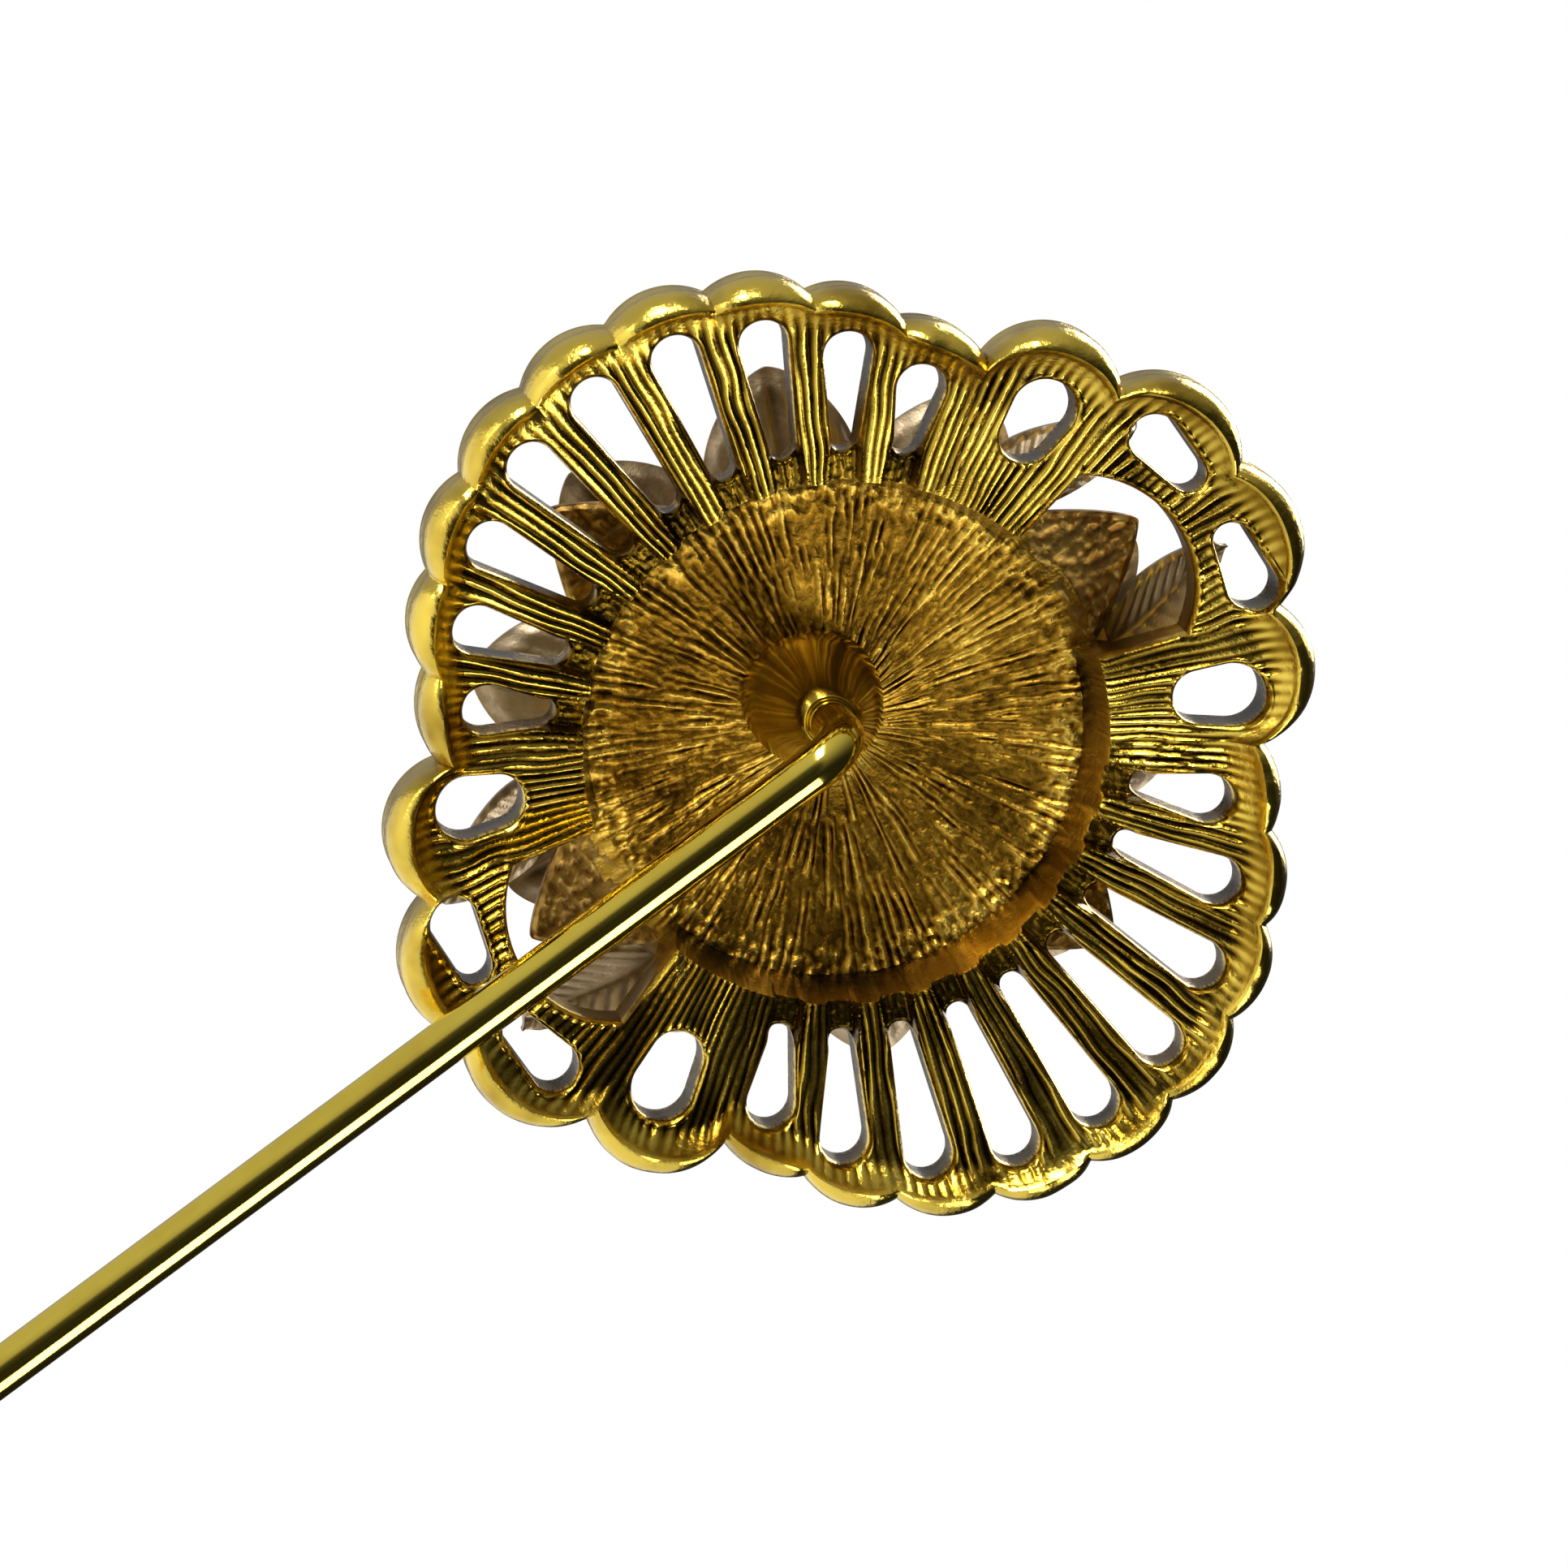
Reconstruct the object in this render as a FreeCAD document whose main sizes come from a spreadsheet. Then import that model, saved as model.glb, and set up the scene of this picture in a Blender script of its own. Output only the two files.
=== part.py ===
"""Hat pin: a cast openwork ornament soldered to a bent wire stem, with a slide-off point guard.

Row frame, millimetres: +Z runs up the stem towards the ornament, the ornament's front looks
along -Y and its back along +Y. The origin is on the stem's axis at the top of its straight run.

The ornament's pieces are drawn in plan on their own XY plane with depth along their own +Z
(depth 0 is the stem's axis plane, depth grows towards the front). ORNAMENT turns them upright.
"""
import FreeCAD
import Part
import math
import os
import re

import Sketcher
from FreeCAD import Base

X_AXIS = Base.Vector(1, 0, 0)
Y_AXIS = Base.Vector(0, 1, 0)
Z_AXIS = Base.Vector(0, 0, 1)

os.makedirs("parts", exist_ok=True)
doc = FreeCAD.newDocument("hat_pin")
sheet = doc.addObject("Spreadsheet::Sheet", "Sizes")

SIZES = (
    # stem
    ("wire_radius", 0.625), ("bend_radius", 1.2), ("stem_length", 95.0), ("point_radius", 0.08),
    ("taper_above_guard", 0.7), ("boss_seat", 0.6),
    # ornament place and frame plan
    ("ornament_shift", 0.85), ("fan_radius", 13.85), ("waist_radius", 11.4),
    ("fan_scallop", 0.42), ("fan_lobes", 9), ("fan_half_angle", 54.0),
    ("loop_radius", 13.6), ("shoulder_radius", 12.8), ("loop_notch", 13.0),
    ("shoulder_notch", 12.2), ("waist_notch", 11.25),
    # frame section, as depths under the stem's axis
    ("rim_crest_depth", 1.2), ("rim_width", 1.32), ("rim_height", 1.95),
    ("recess_radius", 7.2), ("recess_depth", 2.85), ("outer_plate_depth", 1.7),
    ("plate_reach", 12.4), ("plate_thickness", 1.25), ("collar_wall", 0.75),
    # frame openings
    ("slot_start", 8.0), ("slot_rim_land", 1.2), ("slot_root_radius", 0.36),
    ("slot_tip_radius", 0.66), ("corner_half_angle", 16.0), ("corner_turn", -2.0),
    ("corner_reach", 10.6), ("corner_shoulder", 1.0), ("notch_overlap", 14.0),
    ("loop_hole_inset", 1.95), ("loop_hole_inner_skew", 3.6), ("loop_hole_outer_skew", 3.2),
    ("loop_hole_inner_radius", 0.48), ("loop_hole_outer_radius", 0.66),
    ("shoulder_hole_root", 3.15), ("shoulder_hole_inset", 2.3),
    ("shoulder_hole_inner_radius", 0.74), ("shoulder_hole_outer_radius", 0.86),
    ("left_slots_turn", -1.75), ("slots_squeeze", 0.035), ("cut_past", 1.0),
    # dish
    ("floor_radius", 6.8), ("floor_edge_depth", 4.75), ("floor_depth", 5.55),
    ("floor_pad_radius", 2.8), ("floor_thickness", 0.6), ("dish_radius", 6.4),
    ("corner_petal_tip", 10.0), ("corner_petal_thickness", 0.6), ("side_petal_turn", 15.5),
    # front layers
    ("leaf_tip", 12.0), ("leaf_half_width", 1.15), ("leaf_count", 2), ("leaf_pitch", 40.0),
    ("leaf_sink", 0.6), ("leaf_root_width", 1.6), ("leaf_lean", 9.0), ("leaf_strap_end", 9.0), ("outer_petal_turn", 10.0),
    ("outer_petal_tip", 9.8), ("outer_petal_notch", 7.2), ("outer_petal_count", 10),
    ("outer_petal_thickness", 0.6), ("inner_petal_tip", 6.2), ("inner_petal_notch", 4.7),
    ("inner_petal_count", 8), ("inner_petal_thickness", 0.7),
    ("pearl_radius", 2.5), ("pearl_seat_depth", 0.5), ("cup_radius", 2.1), ("cup_foot_share", 0.8),
    ("cup_height", 1.3), ("rivet_radius", 0.6),
    # solder boss
    ("boss_radius", 2.1), ("boss_height", 2.8), ("boss_neck_radius", 0.9),
    ("boss_waist_swell", 1.15), ("boss_waist_rise", 0.62), ("boss_flare_spread", 0.78),
    ("boss_flare_rise", 0.27),
    # point guard
    ("guard_radius", 2.1), ("guard_bore", 1.5), ("guard_length", 13.5), ("guard_overrun", 2.2),
    ("liner_clearance", 0.05), ("liner_length", 7.0), ("guard_bead", 0.3),
    ("cap_plug", 1.2), ("cap_dome", 1.5), ("cap_crown_spread", 0.55), ("cap_crown_rise", 0.16),
    ("cap_shoulder_spread", 0.9), ("cap_shoulder_rise", 0.56),
)


def fill_sheet():
    """Write every size in the sheet under its own name."""
    for row, (name, value) in enumerate(SIZES, start=1):
        sheet.set("A%d" % row, name)
        sheet.set("B%d" % row, str(value))
        sheet.setAlias("B%d" % row, name)
    doc.recompute()


def size(name):
    """Give a size from the sheet as a plain number."""
    return float(sheet.get(name))


def sized(rule):
    """Point every size name in a rule such as 'a + b * 2' at the sheet."""
    return re.sub(r"[a-z][a-z_]*", r"Sizes.\g<0>", rule)


def rule_value(rule):
    """Let the sheet work out a rule and give the number."""
    sheet.set("D1", "=" + rule)
    sheet.recompute()
    return float(sheet.get("D1"))


def bind(item, rules):
    """Tie properties of an object to rules on the sheet."""
    for prop, rule in rules.items():
        item.setExpression(prop, sized(rule))
    return item


def stand_up(item):
    """Turn a piece drawn in plan upright on the ornament's own axis, front towards -Y."""
    item.Placement = Base.Placement(Base.Vector(0, 0, 0), Base.Rotation(X_AXIS, 90))
    item.setExpression("Placement.Base.x", "0 mm - Sizes.ornament_shift * 1 mm")
    item.setExpression("Placement.Base.z", "Sizes.bend_radius * 1 mm")
    return item


def set_out(item, depth_rule):
    """Put a primitive upright on the ornament's axis at a depth, its own +Z towards the front."""
    stand_up(item)
    item.setExpression("Placement.Base.y", "0 mm - (%s) * 1 mm" % sized(depth_rule))
    return item


# ---------------------------------------------------------------- plan drawing

def plan(radius, angle):
    """A plan point from its radius and its angle from straight up, in degrees."""
    turn = math.radians(angle)
    return Base.Vector(radius * math.sin(turn), radius * math.cos(turn), 0)


def fan_reach(angle):
    """Rim radius of a fan's lobes, largest on the fan's middle line."""
    across = abs(90.0 - angle % 180.0) / size("fan_half_angle")
    swell = size("fan_radius") - size("waist_radius")
    return size("waist_radius") + swell * math.cos(math.radians(90.0 * across))


def fan_lobe_angles():
    """Middle angles of one fan's lobes."""
    count = int(size("fan_lobes"))
    pitch = 2.0 * size("fan_half_angle") / count
    first = 90.0 - size("fan_half_angle") + pitch / 2.0
    return [first + pitch * step for step in range(count)]


def loop_angles():
    """Middle angles of the four lobes between two fans, about their own middle."""
    pitch = (90.0 - size("fan_half_angle")) / 2.0
    return [pitch * step for step in (-1.5, -0.5, 0.5, 1.5)]


def rim_lobes():
    """Every rim lobe as (notch, peak, next notch), each one (radius, angle)."""
    notches = []
    peaks = []
    half_fan = size("fan_half_angle") / size("fan_lobes")
    half_loop = (90.0 - size("fan_half_angle")) / 4.0
    notch_radii = (size("waist_notch"), size("shoulder_notch"), size("loop_notch"),
                   size("shoulder_notch"))
    peak_radii = (size("shoulder_radius"), size("loop_radius"), size("loop_radius"),
                  size("shoulder_radius"))
    for side in (0.0, 180.0):
        for angle, notch, peak in zip(loop_angles(), notch_radii, peak_radii):
            notches.append((notch, angle - half_loop + side))
            peaks.append((peak, angle + side))
        for angle in fan_lobe_angles():
            start = angle - half_fan
            inner = fan_reach(start) - size("fan_scallop")
            first_lobe = angle == fan_lobe_angles()[0]
            notches.append((size("waist_notch") if first_lobe else inner, start + side))
            peaks.append((fan_reach(angle), angle + side))
    following = notches[1:] + notches[:1]
    return list(zip(notches, peaks, following))


def shrink(point, inset):
    """Move a (radius, angle) point straight in by inset."""
    return plan(point[0] - inset, point[1])


def lobed_face(lobes, inset=0.0):
    """Face bounded by one arc per lobe."""
    arcs = []
    for notch, peak, after in lobes:
        arc = Part.Arc(shrink(notch, inset), shrink(peak, inset), shrink(after, inset))
        arcs.append(arc.toShape())
    return Part.Face(Part.Wire(arcs))


def tapered_slot(inner, inner_radius, outer, outer_radius):
    """Face of a slot with two round ends of different size, joined by their tangents."""
    along = outer.sub(inner)
    length = along.Length
    along.normalize()
    across = Base.Vector(-along.y, along.x, 0)
    lean = math.asin((inner_radius - outer_radius) / length)

    def rim_point(centre, radius, turn):
        return centre + along * (radius * math.cos(turn)) + across * (radius * math.sin(turn))

    left = math.pi / 2.0 - lean
    tip = Part.Arc(rim_point(outer, outer_radius, left), rim_point(outer, outer_radius, 0.0),
                   rim_point(outer, outer_radius, -left))
    root = Part.Arc(rim_point(inner, inner_radius, -left), rim_point(inner, inner_radius, math.pi),
                    rim_point(inner, inner_radius, left))
    sides = [Part.makeLine(rim_point(outer, outer_radius, -left), rim_point(inner, inner_radius, -left)),
             Part.makeLine(rim_point(inner, inner_radius, left), rim_point(outer, outer_radius, left))]
    return Part.Face(Part.Wire([tip.toShape(), sides[0], root.toShape(), sides[1]]))


def petal_lobes(count, tip, notch, turn=0.0):
    """Lobes of a round flower layer."""
    pitch = 360.0 / count
    lobes = []
    for step in range(count):
        start = turn + pitch * step
        lobes.append(((notch, start), (tip, start + pitch / 2.0), (notch, start + pitch)))
    return lobes


def kite(angle, root_radius, root_half_angle, tip_radius):
    """Face of a pointed petal: a root chord with straight sides to its tip."""
    left = plan(root_radius, angle - root_half_angle)
    right = plan(root_radius, angle + root_half_angle)
    centre = Base.Vector(0, 0, 0)
    return Part.Face(Part.makePolygon([centre, left, plan(tip_radius, angle), right, centre]))


def leaf_face(angle, tip_angle, root_radius, tip_radius, half_width):
    """Face of a leaf: two arcs from its root to its pointed tip."""
    root = plan(root_radius, angle)
    tip = plan(tip_radius, tip_angle)
    middle = (root + tip) * 0.5
    side = plan(half_width, (angle + tip_angle) / 2.0 + 90.0)
    one = Part.Arc(root, middle + side, tip).toShape()
    other = Part.Arc(tip, middle - side, root).toShape()
    return Part.Face(Part.Wire([one, other]))


# ---------------------------------------------------------------- building blocks

def drawn(name, shape):
    """Keep a plan face or a shaped blank as an object."""
    item = doc.addObject("Part::Feature", name)
    item.Shape = shape
    return item


def raised(name, face, start, height):
    """Extrude a drawn face from a start depth over a height, both rules on the sheet."""
    item = doc.addObject("Part::Extrusion", name)
    item.Base = face
    item.DirMode = "Custom"
    item.Dir = Z_AXIS
    item.Solid = True
    item.setExpression("LengthFwd", sized(height))
    face.setExpression("Placement.Base.z", sized(start))
    return item


def joined(name, items):
    """Fuse several objects into one solid."""
    item = doc.addObject("Part::MultiFuse", name)
    item.Shapes = items
    return item


def cut(name, base, tool):
    """Take one object out of another."""
    item = doc.addObject("Part::Cut", name)
    item.Base = base
    item.Tool = tool
    return item


def turned(name, profile):
    """Body turned about its own Z axis from a closed profile of (radius rule, height rule)."""
    body = doc.addObject("PartDesign::Body", name)
    sketch = body.newObject("Sketcher::SketchObject", name + "_profile")
    front = [plane for plane in body.Origin.OriginFeatures if plane.Role == "XZ_Plane"][0]
    sketch.AttachmentSupport = [(front, "")]
    sketch.MapMode = "FlatFace"
    points = []
    for radius_rule, height_rule in profile:
        points.append((rule_value(radius_rule), rule_value(height_rule)))
    count = len(points)
    for index in range(count):
        begin = Base.Vector(points[index][0], points[index][1], 0)
        end_point = points[(index + 1) % count]
        sketch.addGeometry(Part.LineSegment(begin, Base.Vector(end_point[0], end_point[1], 0)))
    for index in range(count):
        sketch.addConstraint(Sketcher.Constraint("Coincident", index, 2, (index + 1) % count, 1))
    for index, (radius_rule, height_rule) in enumerate(profile):
        hold_point(sketch, index, "DistanceX", radius_rule, points[index][0])
        hold_point(sketch, index, "DistanceY", height_rule, points[index][1])
    spin = body.newObject("PartDesign::Revolution", name + "_turn")
    spin.Profile = sketch
    spin.ReferenceAxis = (sketch, ["V_Axis"])
    spin.Angle = 360.0
    body.Tip = spin
    return body


def hold_point(sketch, index, kind, rule, value):
    """Hold one profile point on an axis, or at its sheet distance from it."""
    if rule == "0":
        axis = -2 if kind == "DistanceX" else -1
        sketch.addConstraint(Sketcher.Constraint("PointOnObject", index, 1, axis))
        return
    place = sketch.addConstraint(Sketcher.Constraint(kind, -1, 1, index, 1, value))
    sketch.setExpression("Constraints[%d]" % place, sized(rule))


# ---------------------------------------------------------------- ornament

def rim_section(reach):
    """Upright section of the rim bead, its outer wall at reach from the lobe's own centre."""
    width = size("rim_width")
    crest = size("rim_crest_depth")
    shoulder = crest + width / 2.0
    foot = crest + size("rim_height")
    outer_top = Base.Vector(reach, 0, shoulder)
    inner_top = Base.Vector(reach - width, 0, shoulder)
    dome = Part.Arc(outer_top, Base.Vector(reach - width / 2.0, 0, crest), inner_top).toShape()
    sides = Part.makePolygon([inner_top, Base.Vector(reach - width, 0, foot),
                              Base.Vector(reach, 0, foot), outer_top])
    return Part.Face(Part.Wire([dome] + sides.Edges))


def rim_piece(lobe):
    """Sweep the rim section round one lobe, a little past both notches."""
    notch, peak, after = (plan(*point) for point in lobe)
    circle = Part.Arc(notch, peak, after).toShape().Curve
    centre = circle.Center
    start = math.degrees(math.atan2(notch.y - centre.y, notch.x - centre.x))
    finish = math.degrees(math.atan2(after.y - centre.y, after.x - centre.x))
    sweep = (start - finish) % 360.0
    past = size("notch_overlap")
    section = rim_section(circle.Radius)
    section.rotate(Base.Vector(), Z_AXIS, start + past)
    section.translate(centre)
    return section.revolve(centre, Base.Vector(0, 0, -1), sweep + 2.0 * past)


def frame_slots():
    """Slot faces of both fans, then the four loop holes and the corner opening at each end."""
    faces = []
    root = size("slot_root_radius")
    tip = size("slot_tip_radius")
    for side, slots_turn in ((0.0, 0.0), (180.0, size("left_slots_turn"))):
        for angle in fan_lobe_angles():
            middle = side + 90.0 + (angle - 90.0) * (1.0 - size("slots_squeeze")) + slots_turn
            reach = fan_reach(angle) - size("slot_rim_land") - tip
            faces.append(tapered_slot(plan(size("slot_start") + root, middle), root,
                                      plan(reach, middle), tip))
        for angle in loop_angles():
            faces.append(loop_hole(angle, side + size("corner_turn")))
        faces.append(corner_opening(side + size("corner_turn")))
    return faces


def loop_hole(angle, side):
    """Hole inside one loop: set across the rim in the inner pair, along it in the outer pair."""
    turn = math.copysign(1.0, angle)
    if angle in loop_angles()[1:3]:
        radius = size("loop_radius") - size("loop_hole_inset")
        near = plan(radius, angle - size("loop_hole_inner_skew") * turn + side)
        far = plan(radius, angle + size("loop_hole_outer_skew") * turn + side)
        return tapered_slot(near, size("loop_hole_inner_radius"), far, size("loop_hole_outer_radius"))
    near = plan(size("shoulder_radius") - size("shoulder_hole_root"), angle + side)
    far = plan(size("shoulder_radius") - size("shoulder_hole_inset"), angle + side)
    return tapered_slot(near, size("shoulder_hole_inner_radius"),
                        far, size("shoulder_hole_outer_radius"))


def corner_opening(middle):
    """Opening behind a corner petal, where the recess has no wall."""
    half = size("corner_half_angle")
    inside = size("floor_radius") - size("cut_past")
    shoulder = size("corner_reach") - size("corner_shoulder")
    left = plan(inside, middle - half)
    right = plan(inside, middle + half)
    upper_left = plan(shoulder, middle - half)
    upper_right = plan(shoulder, middle + half)
    top = Part.Arc(upper_left, plan(size("corner_reach"), middle), upper_right).toShape()
    sides = Part.makePolygon([upper_right, right, left, upper_left])
    return Part.Face(Part.Wire([top] + sides.Edges))


def make_frame():
    """Cast openwork frame: scalloped rim bead, sloping spoke plate and recess collar."""
    lobes = rim_lobes()
    pieces = [rim_piece(lobe) for lobe in lobes]
    rim = drawn("rim", pieces[0].multiFuse(pieces[1:]))
    cone = turned("spoke_cone", (
        ("floor_radius", "floor_edge_depth"),
        ("recess_radius", "recess_depth"),
        ("plate_reach", "outer_plate_depth"),
        ("fan_radius", "outer_plate_depth"),
        ("fan_radius", "outer_plate_depth + plate_thickness"),
        ("plate_reach", "outer_plate_depth + plate_thickness"),
        ("recess_radius + collar_wall", "recess_depth + plate_thickness"),
        ("floor_radius + collar_wall", "floor_edge_depth"),
    ))
    outline = drawn("spoke_outline", lobed_face(lobes, size("rim_width") / 2.0))
    trim = raised("spoke_trim", outline, "0", "floor_edge_depth + cut_past")
    plate = doc.addObject("Part::MultiCommon", "spoke_plate")
    plate.Shapes = [cone, trim]
    blank = joined("frame_blank", [plate, rim])
    openings = drawn("frame_openings", Part.makeCompound(frame_slots()))
    cutters = raised("frame_cutters", openings, "0", "floor_edge_depth + cut_past")
    return stand_up(cut("openwork_frame", blank, cutters))


def make_dish():
    """Recessed floor with its flat front boss, and the four corner petals round it."""
    floor = turned("dish_floor", (
        ("0", "floor_depth"),
        ("floor_pad_radius", "floor_depth"),
        ("floor_radius", "floor_edge_depth"),
        ("floor_radius + collar_wall", "floor_edge_depth"),
        ("floor_radius + collar_wall", "floor_edge_depth + corner_petal_thickness"),
        ("dish_radius", "floor_edge_depth + corner_petal_thickness"),
        ("dish_radius", "floor_depth + floor_thickness"),
        ("0", "floor_depth + floor_thickness"),
    ))
    turn = size("corner_turn")
    kites = []
    side_turn = size("side_petal_turn")
    for angle in (turn, 180.0 + turn, 90.0 + side_turn, 270.0 + side_turn):
        kites.append(kite(angle, size("recess_radius"), size("corner_half_angle"),
                          size("corner_petal_tip")))
    petals = drawn("corner_petal_faces", Part.makeCompound(kites))
    blades = raised("corner_petal_blades", petals, "floor_edge_depth", "corner_petal_thickness")
    bore = doc.addObject("Part::Cylinder", "corner_petal_bore")
    bind(bore, {"Radius": "floor_radius + collar_wall / 2",
                "Height": "floor_depth + floor_thickness + cut_past"})
    tips = cut("corner_petal_tips", blades, bore)
    return stand_up(joined("petal_dish", [floor, tips]))


def make_leaf_spray(name, middle):
    """Leaves leaning together, on an arc-shaped root that hugs the dish's front step."""
    pitch = size("leaf_pitch")
    count = int(size("leaf_count"))
    first = middle - pitch * (count - 1) / 2.0
    blades = []
    for step in range(count):
        root_radius = size("dish_radius") + size("leaf_sink")
        angle = first + pitch * step
        tip_angle = angle + (middle - angle) * size("leaf_lean") / (pitch / 2.0)
        blades.append(leaf_face(angle, tip_angle, root_radius, size("leaf_tip"), size("leaf_half_width")))
    half = pitch * (count - 1) / 2.0 + size("leaf_strap_end")
    root_reach = size("dish_radius") + size("leaf_root_width")
    inner = Part.Arc(plan(size("dish_radius"), middle - half), plan(size("dish_radius"), middle),
                     plan(size("dish_radius"), middle + half)).toShape()
    outer = Part.Arc(plan(root_reach, middle + half), plan(root_reach, middle),
                     plan(root_reach, middle - half)).toShape()
    ends = [Part.makeLine(plan(size("dish_radius"), middle + half), plan(root_reach, middle + half)),
            Part.makeLine(plan(root_reach, middle - half), plan(size("dish_radius"), middle - half))]
    root = Part.Face(Part.Wire([inner, ends[0], outer, ends[1]]))
    face = drawn(name + "_face", root.multiFuse(blades).removeSplitter())
    step_rule = "floor_depth + floor_thickness - floor_edge_depth - corner_petal_thickness"
    start_rule = "floor_edge_depth + corner_petal_thickness"
    return stand_up(raised(name, face, start_rule, step_rule))


def make_flower(name, count, layer, start, turn):
    """One round petal layer with a hole for the rivet."""
    lobes = petal_lobes(int(size(count)), size(layer + "_tip"), size(layer + "_notch"), turn)
    face = drawn(name + "_face", lobed_face(lobes))
    blade = raised(name + "_blade", face, start, layer + "_thickness")
    hole = doc.addObject("Part::Cylinder", name + "_hole")
    bind(hole, {"Radius": "rivet_radius", "Height": start + " + " + layer + "_thickness + cut_past"})
    return stand_up(cut(name, blade, hole))


OUTER_START = "floor_depth + floor_thickness"
INNER_START = OUTER_START + " + outer_petal_thickness"
CUP_START = INNER_START + " + inner_petal_thickness"
PEARL_CENTRE = CUP_START + " + pearl_seat_depth + pearl_radius"


def make_pearl_setting():
    """Pearl, the cup it is glued in, and the rivet that holds the petal layers."""
    pearl = doc.addObject("Part::Sphere", "pearl")
    bind(pearl, {"Radius": "pearl_radius"})
    set_out(pearl, PEARL_CENTRE)
    seat = doc.addObject("Part::Sphere", "pearl_seat")
    bind(seat, {"Radius": "pearl_radius", "Placement.Base.z": PEARL_CENTRE})
    cup_blank = turned("pearl_cup_blank", (
        ("rivet_radius", CUP_START),
        ("cup_radius * cup_foot_share", CUP_START),
        ("cup_radius", CUP_START + " + cup_height"),
        ("rivet_radius", CUP_START + " + cup_height"),
    ))
    cup = stand_up(cut("pearl_cup", cup_blank, seat))
    rivet = doc.addObject("Part::Cylinder", "centre_rivet")
    bind(rivet, {"Radius": "rivet_radius",
                 "Height": "outer_petal_thickness + inner_petal_thickness + pearl_seat_depth"})
    set_out(rivet, OUTER_START)
    return [pearl, cup, rivet]


# ---------------------------------------------------------------- stem, boss and guard

TAPER = "guard_length - guard_overrun + taper_above_guard"
LINER_FOOT = "guard_length - guard_bead - liner_length - guard_overrun"


def make_boss():
    """Bell of solder under the stem's foot, bored for the wire."""
    boss = turned("solder_boss", (
        ("wire_radius", "boss_seat"),
        ("wire_radius", "boss_height"),
        ("boss_neck_radius", "boss_height"),
        ("boss_neck_radius * boss_waist_swell", "boss_height * boss_waist_rise"),
        ("boss_radius * boss_flare_spread", "boss_height * boss_flare_rise"),
        ("boss_radius", "0"),
        ("0", "0"),
        ("0", "boss_seat"),
    ))
    boss.Placement = Base.Placement(Base.Vector(), Base.Rotation(X_AXIS, -90))
    boss.setExpression("Placement.Base.y", "0 mm - Sizes.floor_depth * 1 mm")
    boss.setExpression("Placement.Base.z", "Sizes.bend_radius * 1 mm")
    return boss


def make_stem():
    """Bent wire: foot in the boss, quarter bend, straight run and ground point."""
    run = doc.addObject("Part::Cylinder", "stem_run")
    bind(run, {"Radius": "wire_radius", "Height": "stem_length - (%s)" % TAPER,
               "Placement.Base.z": TAPER + " - stem_length"})
    point = doc.addObject("Part::Cone", "stem_point")
    bind(point, {"Radius1": "point_radius", "Radius2": "wire_radius", "Height": TAPER,
                 "Placement.Base.z": "0 - stem_length"})
    bend = doc.addObject("Part::Torus", "stem_bend")
    bind(bend, {"Radius1": "bend_radius", "Radius2": "wire_radius"})
    bend.Angle3 = 90.0
    bend.Placement = Base.Placement(Base.Vector(), Base.Rotation(Y_AXIS, Z_AXIS, X_AXIS))
    bend.setExpression("Placement.Base.y", "0 mm - Sizes.bend_radius * 1 mm")
    foot = doc.addObject("Part::Cylinder", "stem_foot")
    bind(foot, {"Radius": "wire_radius", "Height": "floor_depth - boss_seat - bend_radius"})
    foot.Placement = Base.Placement(Base.Vector(), Base.Rotation(X_AXIS, 90))
    foot.setExpression("Placement.Base.y", "0 mm - Sizes.bend_radius * 1 mm")
    foot.setExpression("Placement.Base.z", "Sizes.bend_radius * 1 mm")
    return joined("pin_stem", [point, run, bend, foot])


def taper_radius(rise):
    """Rule for the radius of the stem's ground taper at a rise above its tip."""
    return "point_radius + (wire_radius - point_radius) * (%s) / (%s)" % (rise, TAPER)


def make_guard():
    """Slide-off point guard: metal shell, nylon liner that seats on the taper, and domed end cap."""
    shell = turned("guard_shell", (
        ("guard_bore", "0"),
        ("guard_radius", "0"),
        ("guard_radius", "guard_length - guard_bead"),
        ("guard_radius - guard_bead", "guard_length"),
        ("guard_bore", "guard_length"),
    ))
    bind(shell, {"Placement.Base.z": "0 - stem_length - guard_overrun"})
    liner = turned("guard_liner", (
        (taper_radius(LINER_FOOT) + " + liner_clearance", "0"),
        ("guard_bore", "0"),
        ("guard_bore", "liner_length"),
        (taper_radius(LINER_FOOT + " + liner_length") + " + liner_clearance", "liner_length"),
    ))
    bind(liner, {"Placement.Base.z": LINER_FOOT + " - stem_length"})
    cap = turned("guard_cap", (
        ("0", "0"),
        ("guard_radius * cap_crown_spread", "cap_dome * cap_crown_rise"),
        ("guard_radius * cap_shoulder_spread", "cap_dome * cap_shoulder_rise"),
        ("guard_radius", "cap_dome"),
        ("guard_bore", "cap_dome"),
        ("guard_bore", "cap_dome + cap_plug"),
        ("0", "cap_dome + cap_plug"),
    ))
    bind(cap, {"Placement.Base.z": "0 - stem_length - guard_overrun - cap_dome"})
    return [shell, liner, cap]


def check_and_write(pieces):
    """Stop on any broken object, then write each piece to its own STEP file."""
    for item in doc.Objects:
        if "Invalid" in item.State or "Error" in item.State:
            raise RuntimeError("%s is %s" % (item.Name, item.State))
    for piece in pieces:
        shape = piece.Shape
        if shape.isNull() or not shape.isValid() or len(shape.Solids) != 1:
            raise RuntimeError("%s: %d solids, valid %s" % (piece.Name, len(shape.Solids), shape.isValid()))
        shape.exportStep("parts/%s.step" % piece.Name)
        box = shape.BoundBox
        print("%-18s volume %9.3f  x %.2f %.2f  y %.2f %.2f  z %.2f %.2f" % (
            piece.Name, shape.Volume, box.XMin, box.XMax, box.YMin, box.YMax, box.ZMin, box.ZMax))


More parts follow.
